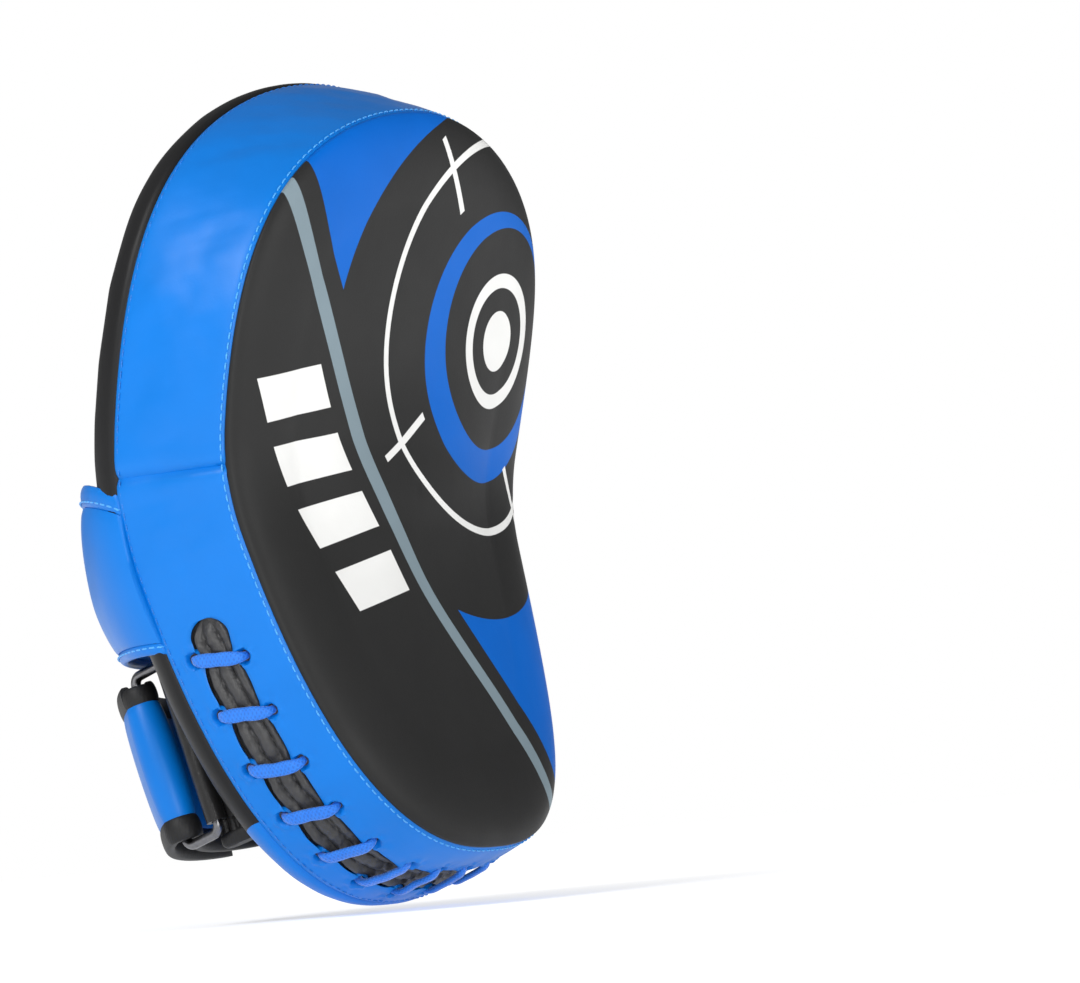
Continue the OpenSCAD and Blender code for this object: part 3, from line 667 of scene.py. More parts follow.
def face_skin():
    """Crowned cover: a turned-in rim, a rounded edge, and a low dome that bridges the bend at the palm."""
    rows = [(2.2, 1.4), (1.3, 0.7), (0.62, 0.0), (0.34, -0.55)]
    for q in np.radians([9, 13, 18, 24, 30, 37, 44, 51, 58, 65, 72, 79, 85]):
        rows.append((CROWN_IN * (1 - math.cos(q)), -CROWN_H * math.sin(q)))
    rings, flat = rim_rows(rows)
    core = inset(T, np.full(COLS, CROWN_IN))
    low = 1.8 - CROWN_H * 0.6
    more, more_flat = [], []
    for k in np.linspace(1, 0.03, 34):
        p = core * k
        bridge = BRIDGE_H * np.exp(-((p[:, 1] / BRIDGE_S) ** 2))
        more.append(bent(p[:, 0], p[:, 1], -CROWN_H - (DOME_H + bridge) * (1 - k * k)))
        more_flat.append(p)
    rings = np.concatenate([rings, more])
    flat = np.concatenate([flat, more_flat])
    # the ink is set out on the flat cover: depth over the rolled edge adds 0.45 of itself outwards
    normal = unit(outline(T) - inset(T, np.full(COLS, 1.0)))
    laid = flat.copy()
    down = np.array([n for _, n in rows])
    laid[:len(rows)] += normal[None] * (CROWN_H + down)[:, None, None] * 0.45
    wave = ripple(rings, 55, 3) * 0.35
    fade = np.ones(len(rings))
    fade[:8] = np.linspace(0, 1, 8)
    rings[..., 1] += wave * fade[:, None]
    middle = bent(0, 0, -CROWN_H - DOME_H - BRIDGE_H)
    under = [rim_rows([(2.6, 2.2)])[0][0]]
    under_flat = [flat[0]]
    for k in (1, 0.6, 0.25):
        p = core * k
        under.append(bent(p[:, 0], p[:, 1], low))
        under_flat.append(p)
    rings = np.concatenate([under[::-1], rings])
    laid = np.concatenate([under_flat[::-1], laid])
    return capped("face_skin", rings, bent(0, 0, low), middle, laid, sharp=60)


dress(face_skin(), "print", replaces=["face_cover"])

# ---------- side band ----------
JOINT_Z = PALM_R * math.sin(JOINT_S / PALM_R)


def joint_arc(n, side):
    """Where the band's joint is at n, on the little-finger side (1) or the thumb side (-1)."""
    s = PALM_R * np.arcsin(JOINT_Z / (PALM_R + np.asarray(n, float)))
    t = np.degrees(np.arcsin(s / TOP_LEN))
    return t_arc(180 - t) if side > 0 else t_arc(t) - RUN[-1]


CROSS_ARCS = np.array([SLOT_PINKY - FIRST - i * PITCH for i in range(CROSSINGS)])


def hole_arc(a, side):
    return a + side * 2.5 * np.minimum(np.abs(a) / 30, 1) * np.sign(a)


HOLES = np.array([[hole_arc(a, k), SLOT_N + k * HOLE_OFF] for a in CROSS_ARCS for k in (-1, 1)])


def band_depth(n):
    """Depth of the band's surface: its bulge, and its long edges turned in to their seams."""
    front = 1.15 * np.exp(-np.clip(n, 0, None) / 0.9)
    back = 1.15 * np.exp(-np.clip(BAND_W - n, 0, None) / 0.9)
    return -0.9 * np.sin(np.pi * np.clip(n / BAND_W, 0, 1)) ** 0.8 + (front + back)


def band_sheets(a, n, d, joints):
    """Outer sheet of a band and its depth, with grooves at its joints and soft unevenness added to d."""
    for j in joints:
        gap = np.abs(a - j)
        d = d + 1.3 * np.exp(-((gap / 1.0) ** 2)) - 0.3 * np.exp(-(((gap - 4) / 2.6) ** 2))
    base = on_band(a, n, d)
    soft = 0.5 * ripple(base, 40, 11) + 0.26 * ripple(base, 15, 12) + 0.08 * ripple(base, 6, 13)
    d = d + np.sin(np.pi * np.clip(n / BAND_W, 0, 1)) * soft
    return on_band(a, n, d), d


def upper_band():
    front, back = [0.15, 0.5, 1.0, 1.7, 2.6], [40.4, 41.3, 42.0, 42.5, 42.85]
    n = np.concatenate([front, np.linspace(4, 39, 18), back])[:, None]
    first, last = joint_arc(n, 1), joint_arc(n, -1) + RUN[-1]
    a = first + (last - first) * np.linspace(0, 1, 330)
    n = np.broadcast_to(n, a.shape)
    outer, d = band_sheets(a, n, band_depth(n), (first, last))
    return shell("band_upper", outer, on_band(a, n, d + BAND_T), sharp=50)


def lower_columns():
    """Even columns along the lower band, closer together at the slot's ends."""
    start, stop = float(joint_arc(0, 1)), float(joint_arc(0, -1))
    a = list(np.arange(start, stop, -0.95)) + [stop]
    for q in (0, 0.08, 0.3, 0.7, 1.2, 1.9, 2.8, 3.8, 4.9):
        a += [SLOT_PINKY - q, -SLOT_THUMB + q]
    a = np.array(sorted(set(np.round(a, 3)), reverse=True))
    keep = np.concatenate([[True], np.diff(a) < -0.05])
    return a[keep]


def slot_reach(a, more=0.0):
    """Half width of the slot at the arc a: round ends, drawn in at each crossing of the lace."""
    e = np.clip(np.minimum(SLOT_PINKY - a, a + SLOT_THUMB), 0, 7.0)
    end = np.sqrt(np.maximum(49 - (7.0 - e) ** 2, 0)) / 7.0
    between = np.abs(np.sin(np.pi * (a - CROSS_ARCS[0]) / PITCH)) ** 0.7
    return (SLOT_HALF + 1.5 * between + more) * end


def lower_depth(a, n, w):
    """Depth of the lower band, with w the slot's half width: slot, holes and the creases round them."""
    d = band_depth(n)
    # the slot's cut edges turn in, and the lace draws them down between its crossings
    edge = np.abs(n - SLOT_N) - w
    turned = np.where(w > 0.01, np.exp(-np.clip(edge, 0, None) / 0.8), 0)
    d = d + 0.75 * turned * smooth(0, 2.0, w)
    for ha, hn in HOLES:
        near = np.abs(a - ha) < 14
        if not near.any():
            continue
        da, dn = a - ha, n - hn
        r = np.hypot(da, dn)
        angle = np.arctan2(dn, da)
        lip = 0.6 * np.exp(-(((r - 3.4) / 0.75) ** 2))
        funnel = 3.4 * (1 - smooth(1.3, 2.7, r)) + 0.7 * np.exp(-((r / 5.5) ** 2)) - lip
        crease = 0.20 * np.cos(6 * angle + ha) * np.exp(-(((r - 4.2) / 2.0) ** 2))
        d = d + np.where(near, funnel + crease, 0)
    return d


def lower_band():
    """The band in front of the slot and behind it, in two strips that meet at the slot's ends."""
    a0 = lower_columns()
    first, last = a0[0], a0[-1]
    w = slot_reach(a0)
    front_q = np.concatenate([[0.006, 0.02, 0.04, 0.07, 0.105], np.linspace(0.15, 0.94, 17), [0.975, 1.0]])
    strips = []
    for lo_side in (True, False):
        q = front_q if lo_side else 1 - front_q[::-1]
        edge_n = SLOT_N - w if lo_side else SLOT_N + w
        n = q[:, None] * edge_n[None] if lo_side else edge_n[None] + q[:, None] * (BAND_W - edge_n)[None]
        a = np.broadcast_to(a0, n.shape)
        a = a + (joint_arc(n, 1) - first) * np.exp(-(first - a) / 8.0)
        a = a + (joint_arc(n, -1) - last) * np.exp(-(a - last) / 8.0)
        d = lower_depth(a, n, np.broadcast_to(w, n.shape))
        strips.append(band_sheets(a, n, d, (joint_arc(n, 1), joint_arc(n, -1)))[0])
    rows, cols = strips[0].shape[:2]
    verts = np.concatenate([s.reshape(-1, 3) for s in strips])
    faces = [f for base in (0, rows * cols) for f in grid_faces(rows, cols, wrap_cols=False, base=base)]
    obj = to_object("band_lower", verts, faces, merge=0.02)
    # outward normals: the middle of the heel faces down
    mid = max(obj.data.polygons, key=lambda f: -f.center.z)
    if mid.normal.z > 0:
        obj.data.flip_normals()
    mod = obj.modifiers.new("thick", "SOLIDIFY")
    mod.thickness, mod.offset = BAND_T * MM, -1
    graph = bpy.context.evaluated_depsgraph_get()
    mesh = bpy.data.meshes.new_from_object(obj.evaluated_get(graph))
    obj.modifiers.clear()
    obj.data = mesh
    shade(obj, 50)
    return obj


dress(upper_band(), "blue", replaces=["upper_side_band"])
dress(lower_band(), "blue", replaces=["lower_side_band"])


def hole_foam_shade_plugs():
    """Dark foam plugs in the punched holes: partly the foam under the band, partly painted shade inside each
    hole.
    """
    parts = []
    angle = np.arange(16) * 2 * np.pi / 16
    for ha, hn in HOLES:
        rings = [on_band(ha + r * np.cos(angle), hn + r * np.sin(angle), d)
                 for r, d in ((2.25, 1.75), (1.9, 2.0), (1.9, 4.2), (2.25, 4.5))]
        parts.append((np.concatenate(rings), tube_faces(len(rings), len(angle))))
    return joined("hole_foam_shade_plugs", parts)


# dark plugs in the holes: painted shade inside each punched hole, partly the foam behind it
dress(hole_foam_shade_plugs(), "dense")


def pleated_gusset():
    """Shiny pleated strip behind the slot: lengthwise folds that close up at the slot's ends."""
    a = np.arange(SLOT_PINKY + 1.5, -SLOT_THUMB - 1.6, -0.9)
    close = np.maximum(slot_reach(a, 1.0), 0.5)
    q = np.linspace(-1, 1, 57)
    aa, qq = np.meshgrid(a, q, indexing="ij")
    w = close[:, None] * qq
    drift = 0.5 * np.sin(aa / 13.0) + 0.35 * np.sin(aa / 5.3 + 1) + 0.2 * np.sin(aa / 2.3)
    fold = np.abs(np.cos(np.pi * (qq * 1.5 + 0.16 * drift)))
    squeeze = 0.6 + 0.4 * np.abs(np.sin(np.pi * (aa - CROSS_ARCS[0]) / PITCH))
    depth = 2.3 - 2.2 * fold**0.7 * squeeze
    ruck = np.exp(-((np.sin(np.pi * (aa - CROSS_ARCS[0]) / PITCH) / 0.4) ** 2))
    depth += 0.30 * np.sin(aa / 1.6 + 4 * qq) * (0.35 + ruck)
    depth += 0.22 * ripple(np.stack([aa, 3 * aa + 9 * qq, 7 * qq], -1), 9, 41)
    edge = smooth(0.72, 0.9, np.abs(qq))
    depth = depth * (1 - edge) + 2.3 * edge
    tips = smooth(0, 7, np.minimum(SLOT_PINKY - aa, aa + SLOT_THUMB))
    depth = 2.3 + (depth - 2.3) * tips
    outer = on_band(aa, SLOT_N + w, depth)
    return shell("gusset_pleats", outer, on_band(aa, SLOT_N + w, 4.6), sharp=60)


dress(pleated_gusset(), "pleat", replaces=["slot_gusset"])


def flat_cord(path, up, wide, thick, sides):
    """Rings of a flattened cord along a path; up is its flat side's outward direction at each point."""
    d = unit(np.gradient(path, axis=0))
    flat = unit(np.cross(d, up))
    high = np.cross(flat, d)
    q = np.arange(sides) * 2 * np.pi / sides
    c, s = spow(np.cos(q), 0.8)[None, :, None], spow(np.sin(q), 0.8)[None, :, None]
    wide, thick = wide[:, None, None], thick[:, None, None]
    return path[:, None] + flat[:, None] * c * wide + high[:, None] * s * thick


# The lace over one crossing: share of the way, depth, and the cord's half width and half thickness
LACE_SHAPE = (
    (0, 4.8, 1.5, 1.3), (0.0, 3.2, 1.4, 1.3), (0.01, 1.4, 1.4, 1.3), (0.05, -0.1, 1.7, 1.2),
    (0.16, -1.15, 2.2, 1.15), (0.32, -1.3, 2.45, 1.1), (0.5, -1.25, 2.3, 1.15), (0.68, -1.3, 2.45, 1.1),
    (0.84, -1.15, 2.2, 1.15), (0.95, -0.1, 1.7, 1.2), (0.99, 1.4, 1.4, 1.3), (1.0, 3.2, 1.4, 1.3),
    (1, 4.8, 1.5, 1.3),
)


def lace():
    """One flat cord: over the slot, down a hole, along under the band, and up the next hole on that side."""
    route, lifts, shape = [], [], []
    for i, a in enumerate(CROSS_ARCS):
        k = 1 if i % 2 == 0 else -1
        ends = [(hole_arc(a, k), SLOT_N + k * HOLE_OFF), (hole_arc(a, -k), SLOT_N - k * HOLE_OFF)]
        sag = math.sin(2.3 * i)
        for q, d, wide, thick in LACE_SHAPE:
            if q == 0.5:
                d += 0.3 * sag
            pa = ends[0][0] * (1 - q) + ends[1][0] * q + 0.5 * sag * math.sin(math.pi * q)
            pn = ends[0][1] * (1 - q) + ends[1][1] * q
            route.append(on_band(pa, pn, d))
            out = unit(on_band(pa, pn, -10.0) - on_band(pa, pn, 0.0))
            along = unit(on_band(pa, SLOT_N + 4 * k, 0.0) - on_band(pa, SLOT_N - 4 * k, 0.0))
            # at the holes the flat side turns to face along the slot's line
            turn = np.clip((d - 0.2) / 2.0, 0, 1)
            lean = along * (1 if q < 0.5 else -1)
            lifts.append(unit(out * (1 - turn) + lean * turn + 0.12 * sag * np.cross(out, along)))
            shape.append((wide, thick))
    path = spline(route, 5)
    lift = unit(spline(lifts, 5))
    size = spline(shape, 5)
    run = run_of(path)
    even = np.arange(0, run[-1], 0.7)

    def at(values):
        return np.stack([np.interp(even, run, values[:, k]) for k in range(values.shape[1])], -1)

    wide, thick = at(size).T
    rings = flat_cord(at(path), unit(at(lift)), wide, thick, 20)
    girth = np.arange(20) / 20 * 11.5
    uv = np.stack(np.broadcast_arrays(even[:, None], girth[None]), -1)
    return swept("lace", rings, uv=uv.reshape(-1, 2), sharp=80)


dress(lace(), "lace", replaces=["lace_cord"])

# ---------- back panel ----------
def back_skin():
    """Back cover with its rolled edge, wider on the laced half."""
    lace_share = laced(T)
    rows = [(np.full(COLS, 2.6), 41.2), (np.full(COLS, 1.5), 42.4), (np.full(COLS, 0.75), 43.15)]
    for q in np.radians([4, 8, 13, 19, 26, 33, 41, 49, 57, 65, 73, 81, 90]):
        w = ROLL_IN + ROLL_MORE * lace_share
        rows.append((0.25 + w * (1 - math.cos(q)), BAND_W + 0.6 + (ROLL_H - 0.6) * math.sin(q)))
    rings, _ = rim_rows(rows)
    start = inset(T, 0.25 + ROLL_IN + ROLL_MORE * lace_share)
    core = inset(T, np.full(COLS, CROWN_IN))
    more = [bent(*(start * (1 - q) + core * q).T, BACK_N) for q in (0.5, 1.0)]
    more += [bent(*(core * k).T, BACK_N) for k in np.linspace(1, 0.03, 30)[1:]]
    rings = np.concatenate([rings, more])
    fade = np.ones(len(rings))
    fade[:4] = 0
    bump = 0.35 * ripple(rings, 30, 21) * fade[:, None]
    rings[..., 1] -= np.abs(bump)
    under = [bent(*(core * k).T, 41.2) for k in (0.25, 0.6, 1)]
    rings = np.concatenate([under, rings])
    return capped("back_skin", rings, bent(0, 0, 41.2), bent(0, 0, BACK_N), sharp=60)


def split_heel(obj):
    """Cuts the back skin in two along the heel seam, and closes both sides."""
    normal = Vector((0, math.sin(tilt(HEEL_CUT)), math.cos(tilt(HEEL_CUT))))
    point = Vector(bent(0, HEEL_CUT, BAND_W) * MM)
    out = []
    for name, keep_upper in (("back_skin", True), ("heel_skin", False)):
        bm = bmesh.new()
        bm.from_mesh(obj.data)
        geom = bm.verts[:] + bm.edges[:] + bm.faces[:]
        cut = bmesh.ops.bisect_plane(bm, geom=geom, plane_co=point, plane_no=normal,
                                     clear_inner=keep_upper, clear_outer=not keep_upper)
        edges = [g for g in cut["geom_cut"] if isinstance(g, bmesh.types.BMEdge)]
        filled = bmesh.ops.contextual_create(bm, geom=edges)
        bmesh.ops.triangulate(bm, faces=filled["faces"])
        mesh = bpy.data.meshes.new(name)
        bm.to_mesh(mesh)
        bm.free()
        piece = linked(name, mesh)
        shade(piece, 60)
        out.append(piece)
    bpy.data.objects.remove(obj)
    out[0].name = "back_skin"
    return out


_back, _heel = split_heel(back_skin())
dress(_back, "black", replaces=["back_panel"])
dress(_heel, "blue", replaces=["heel_panel"])

# ---------- seams of the pad ----------
def ring_line(t, d, n):
    p = inset(t, np.full(len(t), float(d)))
    return bent(p[:, 0], p[:, 1], n)


def pad_stitches(name, d, n, pitch, length, radius):
    t = np.interp(np.linspace(0, RUN[-1], 900), RUN, FINE)
    line = ring_line(t, d, n)
    lift = line - ring_line(t, d + 2, n)
    return stitches(name, line, lift, pitch, length, radius)


dress(pad_stitches("front_stitches", 0.12, 1.25, 3.3, 2.3, 0.26), "sky")
dress(pad_stitches("rear_stitches", 0.05, 41.0, 3.6, 2.6, 0.24), "band_thread")

# ---------- finger hood and thumb sleeve ----------
# Places and sizes: middle x, first s, length, half width, height
HOOD, SLEEVE = (0, 9, 74, 50, 31), (66, 12, 36, 13, 22)
HOOD_SEAMS = (-22, 0, 22)
# Share of the length, then the shares of the width and the height there
HOOD_ROWS = np.array([[0, 1, 0.97], [0.2, 1, 1], [0.4, 0.99, 1], [0.6, 0.95, 0.93], [0.78, 0.86, 0.74],
                      [0.92, 0.7, 0.42], [1, 0.55, 0.1]])


def hood_grid(x0, s0, length, half, height, d, seams=(), rows=40, cols=145):
    """Sheet of points of a hood sewn to the back panel, pulled in by d, with lengthwise seams at x."""
    v = np.linspace(0, 1, rows)
    curve = spline(HOOD_ROWS, 8)
    wide = np.interp(v, curve[:, 0], curve[:, 1])[:, None]
    tall = np.interp(v, curve[:, 0], curve[:, 2])[:, None]
    a = np.radians(np.linspace(0, 180, cols))[None]
    x = (half * wide - d) * spow(np.cos(a), 0.85)
    up = (np.maximum(height * tall, 3.2) - d) * np.sin(a) ** 0.85
    for sx in seams:
        up = up * (1 - 0.10 * np.exp(-(((x - sx) / 2.2) ** 2)) * smooth(0.0, 0.12, v)[:, None])
    s = s0 + length * v[:, None] + 0 * a
    return bent(x0 + x, s, BACK_N + 0.3 + up)


def hood(node, size, seams, lining):
    """The hood's skin and its lining; returns the skin's outer sheet."""
    outer, inner, far = (hood_grid(*size, d, seams) for d in (0, 1.6, 2.6))
    dress(shell(node + "_skin", outer, inner, sharp=50), "black", replaces=[node])
    dress(shell(lining + "_cloth", inner, far, sharp=50), "mesh", replaces=[lining])
    return outer


_hood = hood("finger_hood", HOOD, HOOD_SEAMS, "finger_lining")
hood("thumb_sleeve", SLEEVE, (), "thumb_lining")


def hood_tape():
    """Binding folded over the hood's open edge."""
    first = hood_grid(*HOOD, 1.3)[0]
    middle = bent(0, HOOD[1], BACK_N)
    down = unit(bent(0, HOOD[1] - 4, BACK_N) - middle)
    out = unit(first - middle)[:, None]
    angle = np.radians(np.linspace(0, 360, 16, endpoint=False))[None, :, None]
    sections = first[:, None] + down * (1.9 + 2.0 * np.cos(angle)) + out * (2.1 * np.sin(angle))
    return swept("finger_tape", sections, sharp=60)


dress(hood_tape(), "tape", replaces=["finger_binding"])


_row = _hood[3]
dress(stitches("hood_stitches_0", _row, _row - bent(0, 15, BACK_N), 3.4, 2.5, 0.28), "ink")


def grip():
    """Domed palm grip with a sewn ring seam."""
    r = np.concatenate([[20.7, 20.78], np.linspace(20.6, 0.8, 30)])
    h = np.sqrt(np.maximum(24.0**2 - r**2, 0)) - 12.0
    h[0] = 0.0
    h = np.maximum(h, 0) - 0.5 * np.exp(-(((r - 14) / 0.7) ** 2))
    angle = np.linspace(0, 2 * np.pi, 96, endpoint=False)
    r, h = r[:, None], h[:, None]
    rings = np.stack([r * np.cos(angle), 0.3 + h + 0 * angle, r * np.sin(angle)], -1)
    return capped("palm_grip_skin", rings, [0, 0.3, 0], [0, 12.3, 0], sharp=60)


dress(grip(), "black", replaces=["palm_grip"])

# ---------- hand cover ----------
COVER_TOP, COVER_LOW, TOP_RISE, TOP_DIP, LOW_RISE = -4.5, -40.0, 12.2, 9.2, 10.0


def arch(s, a, d):
    """Point of the cover's arch at the angle a (degrees), d inside its outer surface."""
    r = np.radians(a)
    e = 2 / ARCH_POWER
    t = np.degrees(np.arcsin(np.clip(s / BOTTOM_LEN, -1, 1)))
    w = outline(t)[..., 0]
    g = unit(np.stack([np.cos(r) / w, np.sin(r) / ARCH_H], -1))
    x = w * spow(np.cos(r), e) - d * g[..., 0]
    n = BAND_W + ARCH_H * spow(np.sin(r), e) - d * g[..., 1]
    return x, n


ARCH_END = np.array([-1, 0, 1.5, 3, 5, 8, 11, 14])
ARCH_A = np.concatenate([ARCH_END, np.linspace(17, 163, 120), 180 - ARCH_END[::-1]])
FOOT = smooth(17, 34, np.minimum(ARCH_A, 180 - ARCH_A))


def cover_grid(v, depth, foot_depth):
    """Sheet of the cover over the shares v of its length, with its depth, and foot_depth at its feet."""
    v = np.asarray(v, float)[:, None]
    a = ARCH_A[None]
    rise = np.sin(np.radians(np.clip(a, 0, 180)))
    top = COVER_TOP + (TOP_RISE - TOP_DIP * rise) * rise
    s = top * (1 - v) + (COVER_LOW + LOW_RISE * rise) * v
    d = foot_depth * (1 - FOOT) + np.asarray(depth) * FOOT
    x, n = arch(s, np.clip(a, 0, 180) + 0 * v, d)
    # the feet's outermost rows tuck into the rear seam
    tuck = np.where((a < 0) | (a > 180), 1.0, 0.0)
    return bent(x - np.sign(x) * 1.0 * tuck, s, n - 0.9 * tuck)


def cover_pad():
    v = np.linspace(0.0, 1.0, 34)
    puff = -2.8 * np.sin(np.pi * v) ** 0.6
    outer_d = (puff + 0.9)[:, None]
    outer = cover_grid(v, outer_d, (puff * 0.55 - 0.2)[:, None])
    outer += 0.22 * ripple(outer, 24, 31)[..., None] * np.array([0, 1, 0])
    inner = cover_grid(v, 7.9 + 0 * outer_d, 1.7 + 0 * outer_d)
    return shell("hand_cover_pad", outer, inner, sharp=50)


dress(cover_pad(), "blue", replaces=["hand_cover", "cover_padding"])


def cover_hem(name, v0, v1):
    """Turned edge of the cover, sewn flat, with a rounded lip."""
    q = np.linspace(0, 1, 9)
    v = v0 + (v1 - v0) * q
    lip = 1.1 * (np.abs(2 * q - 1) ** 3.0)
    outer = cover_grid(v, (0.7 + lip)[:, None], (lip * 0.6 - 0.1)[:, None])
    inner = cover_grid(v, (3.4 - lip * 0.6)[:, None], (1.9 - lip * 0.3)[:, None])
    return shell(name, outer, inner, sharp=60)


for _name, _node, _v0, _v1 in (("cover_top_edge", "cover_top_hem", -0.125, 0.01),
                               ("cover_low_edge", "cover_bottom_hem", 0.99, 1.10)):
    dress(cover_hem(_name, _v0, _v1), "blue", replaces=[_node])


for _name, _v in (("cover_top_stitches", -0.035), ("cover_low_stitches", 1.035)):
    _line = cover_grid([_v], 0.62, 0.2)[0]
    _lift = _line - cover_grid([_v], 2.62, 2.2)[0]
    dress(stitches(_name, _line, _lift, 3.6, 2.7, 0.33), "sky")

_v = np.linspace(0, 1, 20)
dress(shell("cover_lining_cloth", cover_grid(_v, 8.0, 1.75), cover_grid(_v, 9.0, 2.7), sharp=60),
      "mesh", replaces=["cover_lining"])

# ---------- cuff ----------
CUFF_LOW, CUFF_HIGH = -36.0, 22.0


def cuff_section(side, grow, ridges):
    """Section of a cuff wall, x across and y off the panel, with sewn channels on its outer face."""
    x0, x1, y0, y1 = 40.0 - grow, 46.8 + grow, 0.4, 13.0 + grow
    pts = []
    for y in np.linspace(y0, y1 - 2.6, 26):
        groove = sum(0.9 * np.exp(-(((y - c) / 0.8) ** 2)) for c in ridges)
        pts.append([x1 - groove + 0.5 * math.sin(math.pi * (y - y0) / (y1 - y0)), y])
    for q in np.linspace(0, math.pi, 12):
        pts.append([(x0 + x1) / 2 + (x1 - x0) / 2 * math.cos(q), y1 - 2.6 + 2.6 * math.sin(q)])
    for y in np.linspace(y1 - 2.6, y0, 12):
        pts.append([x0, y])
    p = np.array(pts)
    return p * np.array([side, 1])


def cuff_sweep(name, side, z, grow, ridges):
    """Cuff wall over the heights z, with its section grown by grow at each."""
    sections = []
    for height, more in zip(z, grow):
        p = cuff_section(side, more, ridges)
        sections.append(wrist(np.column_stack([p, np.full(len(p), height)])))
    return swept(name, np.array(sections), sharp=50)


RIDGES = (4.2, 8.2)
_z = np.linspace(CUFF_LOW + 4.5, CUFF_HIGH - 4.5, 40)
for _side, _node in ((-1, "cuff_pinky_skin"), (1, "cuff_thumb_skin")):
    _wall = cuff_sweep(_node + "_pad", _side, _z, 0 * _z, RIDGES)
    dress(_wall, "leather", replaces=[_node])
_q = np.linspace(0, 1, 9)
_swell = 0.45 - 1.1 * np.abs(2 * _q - 1) ** 4
_rims = [taken(cuff_sweep("part", _side, _low + 5 * _q, _swell, ()))
         for _side in (-1, 1) for _low in (CUFF_LOW, CUFF_HIGH - 5)]
dress(joined("cuff_tape", _rims), "tape", replaces=["cuff_binding"])

# ---------- wrist strap ----------
STRAP_W, STRAP_BIND, STRAP_T = 42.0, 7.5, 4.6
WIRE_R, WIRE_GAP = 1.75, 0.3
FOLD_R = WIRE_R + WIRE_GAP + STRAP_T / 2
RISE = 38 + STRAP_T / 2 + FOLD_R
BAR_X, BAR_V = 47.0, 25.0
ARC_V = (RISE**2 - BAR_X**2 - BAR_V**2) / (2 * (RISE - BAR_V))
MID_R = RISE - ARC_V
BASE_R, END_R = MID_R - FOLD_R, MID_R + FOLD_R
BAR_A = -math.degrees(math.asin(BAR_X / MID_R))
THUMB_A, HINGE_A, TIP_A, FREE_A = 50.0, BAR_A + 1, -8.0, 13.0


def polar(r, a):
    a = np.radians(a)
    return np.stack([r * np.sin(a), ARC_V + r * np.cos(a)], -1)


def strap_piece(name, path, out_side, half_t, z0, z1, puff, round_end):
    """Padded band along a path in the wrist frame: z0 to z1 across it, thicker in its middle by puff."""
    d = unit(np.gradient(path, axis=0))
    normal = np.stack([-d[:, 1], d[:, 0]], -1) * out_side
    q = np.linspace(0, 1, 34)
    z = z0 + (z1 - z0) * (0.5 - 0.5 * np.cos(np.pi * q))
    share = (z - z0) / (z1 - z0)
    thick = half_t * np.clip(np.sin(np.pi * np.clip(share, 0, 1)), 0, 1) ** 0.22
    lift = puff * np.sin(np.pi * share) ** 0.6
    run = run_of(path)
    sections = []
    for p, out, r in zip(path, normal, run):
        end = 1.0
        if round_end:
            end = math.sqrt(max(1 - max(1 - (run[-1] - r) / round_end, 0) ** 2, 0.04))
        top = p + out * (thick * end + lift)[:, None]
        low = p - out * (thick * end)[:, None]
        ring = np.concatenate([np.column_stack([top, z]), np.column_stack([low, z])[::-1][1:-1]])
        sections.append(wrist(ring))
    return swept(name, np.array(sections), sharp=50)


def strap_set(label, path, out_side, body, nodes, round_end=0, cap_less=0.0):
    """One length of the strap: its blue padded band, and the black tape bound over each long edge."""
    half = STRAP_W / 2
    blue = strap_piece(label + "_pad", path, out_side, STRAP_T / 2, -half - 0.4, half + 0.4, 0.5, round_end)
    dress(blue, "blue", body, [nodes[0]])
    parts = []
    for z0, z1, thick in ((-half - STRAP_BIND, -half + 1.0, 1.95),
                          (half - 1.0, half + STRAP_BIND - cap_less, 1.95 - cap_less / 4)):
        parts.append(taken(strap_piece("part", path, out_side, thick, z0, z1, 0.25, round_end)))
    dress(joined(label + "_tape", parts), "tape", body, [nodes[1]])


def arc(r, a0, a1, step=1.5):
    count = max(int(abs(a1 - a0) / step), 2)
    return polar(r, np.linspace(a0, a1, count + 1))


ROOT_R, ROOT_V = 12.0, 3.0
_start = polar(BASE_R, THUMB_A)
_centre = _start - ROOT_R * np.array([math.sin(math.radians(THUMB_A)), math.cos(math.radians(THUMB_A))])
_turn = np.radians(np.linspace(90, THUMB_A, 8))
_base = np.concatenate([
    np.linspace([_centre[0] + ROOT_R, ROOT_V], [_centre[0] + ROOT_R, _centre[1]], 12)[:-1],
    _centre + ROOT_R * np.stack([np.sin(_turn), np.cos(_turn)], -1),
    arc(BASE_R, THUMB_A, BAR_A)[1:],
])
_bar = polar(MID_R, BAR_A)
_fa = np.radians(BAR_A + np.linspace(0, 180, 33))
_fold = _bar + FOLD_R * np.stack([-np.sin(_fa), -np.cos(_fa)], -1)


def place(r, a):
    """A point of the strap's arc, in metres."""
    return tuple(wrist([*polar(r, a), 0]) * MM)


# each soft length that crosses a hinge is given the two bodies and the two places beside it; dress only
# bakes it in place
_to_ring = ("pad", "ring", place(BASE_R, BAR_A + 8), place(BASE_R, BAR_A))
_to_flap = ("ring", "flap", place(END_R, HINGE_A), place(END_R, HINGE_A + 11))
_to_tip = ("flap", "tip", place(END_R, TIP_A), place(END_R, TIP_A + 9))
strap_set("strap_lower", _base, 1, _to_ring, ("strap_base", "strap_base_binding"))
strap_set("strap_turn", _fold, 1, "ring", ("strap_fold", "strap_fold_binding"), cap_less=1.4)
strap_set("strap_upper", arc(END_R, BAR_A - 0.3, TIP_A), -1, _to_flap, ("strap_end", "strap_end_binding"))
strap_set("strap_finger_tab", arc(END_R, TIP_A, FREE_A), -1, _to_tip, ("strap_tip", "strap_tip_binding"), 5)

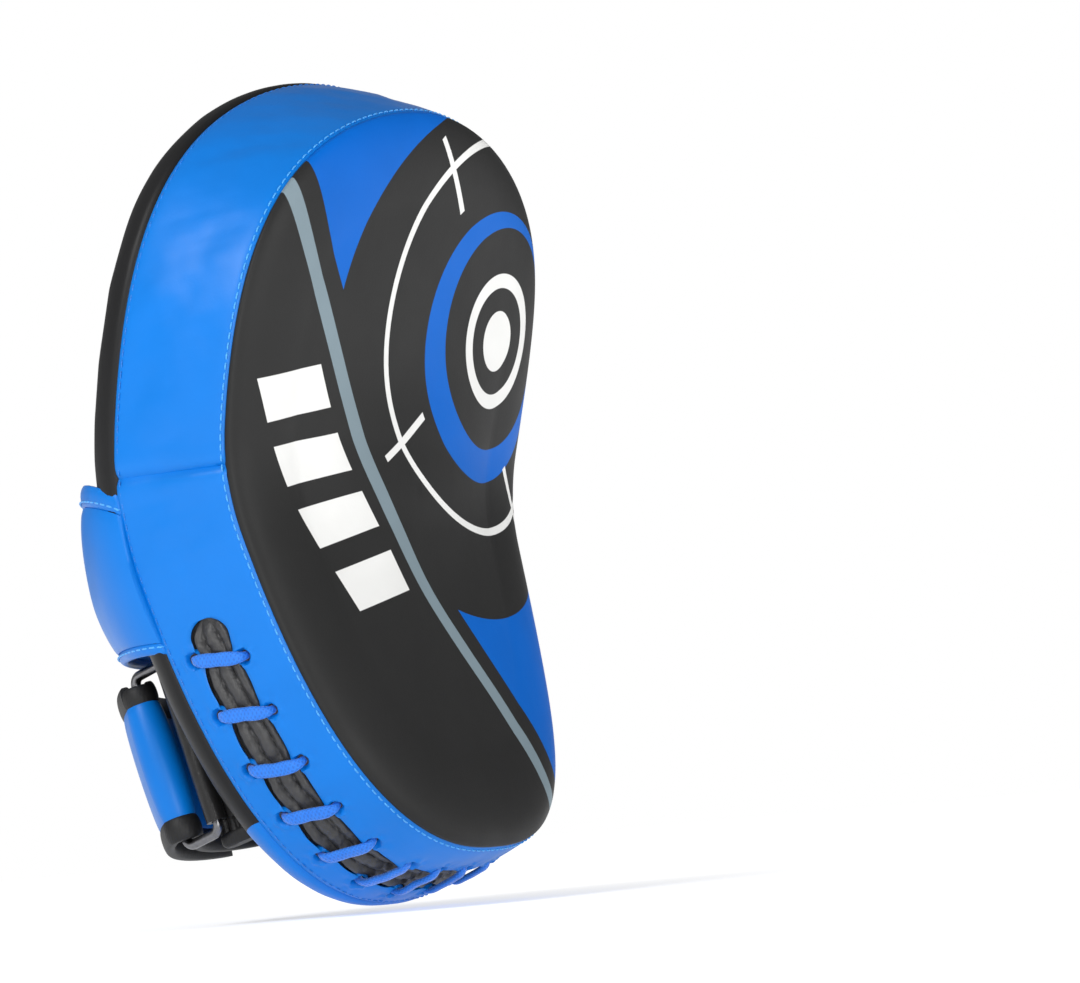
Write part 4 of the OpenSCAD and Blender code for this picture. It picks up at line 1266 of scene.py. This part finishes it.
# ---------- carried-over CAD nodes ----------
CARRIED = {
    "foam": ("impact_foam", "rear_foam", "back_padding", "cuff_foam"),
    "dense": ("core_foam",),
    "mesh": ("cuff_lining", "finger_dividers"),
    "hook": ("hook_patch",),
    "loop": ("loop_patch",),
    "steel": ("strap_ring",),
    "leather": ("ring_tab",),
}
for _material, _nodes in CARRIED.items():
    for _node in _nodes:
        _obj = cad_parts[_node]
        _obj.data.materials.clear()
        _obj.data.materials.append(MAT[_material])
        shade(_obj, 30)

# ---------- floor, light, camera ----------
FLOOR_Z, FLOOR_HALF = -0.1445, 60
# The surround's light: where from, and the ramp of its strength by how near a direction is to that
GLOWS = (((0.887, 0.455, 0.08), (0.88, 0.97, 0.0, 0.5)), ((-0.8, 0.3, 0.5), (-0.7, 0.8, 0.12, 0.34)))
# Lamps, all aimed at the mitt: size (m), power (W) and place (m)
LAMPS = {
    "key": (0.6, 12.5, (-1.3, 0.15, 0.75)),
    "front": (0.5, 6, (-0.95, -0.8, -0.02)),
    "fill": (0.8, 7.5, (0.2, -1.5, 0.1)),
}
CAMERA_PLACE, CAMERA_LENS = (-1.2533, -0.7643, -0.12264), 139.4
CAMERA_RIGHT, CAMERA_UP = Vector((0.46115, -0.88328, -0.08464)), Vector((-0.03345, -0.11263, 0.99307))


def floor():
    corners = np.array([[-1, -1], [1, -1], [1, 1], [-1, 1]]) * FLOOR_HALF
    corners = np.column_stack([corners, np.full(4, FLOOR_Z)]) / MM
    plane = to_object("floor", corners, [[0, 1, 2, 3]])
    m = Nodes("floor_pale")
    tone = m.mix(m.noise(400, 2), (0.84, 0.84, 0.84), (0.87, 0.87, 0.87))
    # the floor pales into the white backdrop with distance
    glow = m.ramp(m.vec("LENGTH", m.place()), 0.1, 0.6, 0.62, 1.1)
    m.finish(Base_Color=tone, Roughness=0.95, Specular_IOR_Level=0.0, Emission_Color=tone,
             Emission_Strength=glow)
    plane.data.materials.append(m.owner)


def surround():
    """Plain white to the eye; as light it is dim, brighter behind the mitt and to its left."""
    world = bpy.data.worlds.new("studio")
    bpy.context.scene.world = world
    w = Nodes(world)
    way = w.place("Generated")
    level = 0.0
    for toward, steps in GLOWS:
        level = w.math("ADD", level, w.ramp(w.vec("DOT_PRODUCT", way, toward), *steps))
    seen = w.new("LightPath").outputs["Is Camera Ray"]
    background = w.tree.nodes["Background"]
    background.inputs[0].default_value = (1, 1, 1, 1)
    w.link(w.math("MAXIMUM", level, seen), background.inputs[1])


def lamps():
    for name, (size, power, spot) in LAMPS.items():
        data = bpy.data.lights.new(name, "AREA")
        data.shape, data.size, data.energy = "DISK", size, power
        lamp = linked(name, data)
        lamp.location = spot
        lamp.rotation_euler = (-Vector(spot)).to_track_quat("-Z", "Y").to_euler()


def camera():
    data = bpy.data.cameras.new("camera")
    data.sensor_width, data.lens = 36.0, CAMERA_LENS
    data.clip_start, data.clip_end = 0.05, 50
    cam = linked("camera", data)
    turn = Matrix((CAMERA_RIGHT, CAMERA_UP, CAMERA_RIGHT.cross(CAMERA_UP))).transposed()
    cam.matrix_world = Matrix.Translation(CAMERA_PLACE) @ turn.to_4x4()
    bpy.context.scene.camera = cam


floor()
surround()
lamps()
camera()
bpy.context.scene.view_settings.view_transform = "Standard"
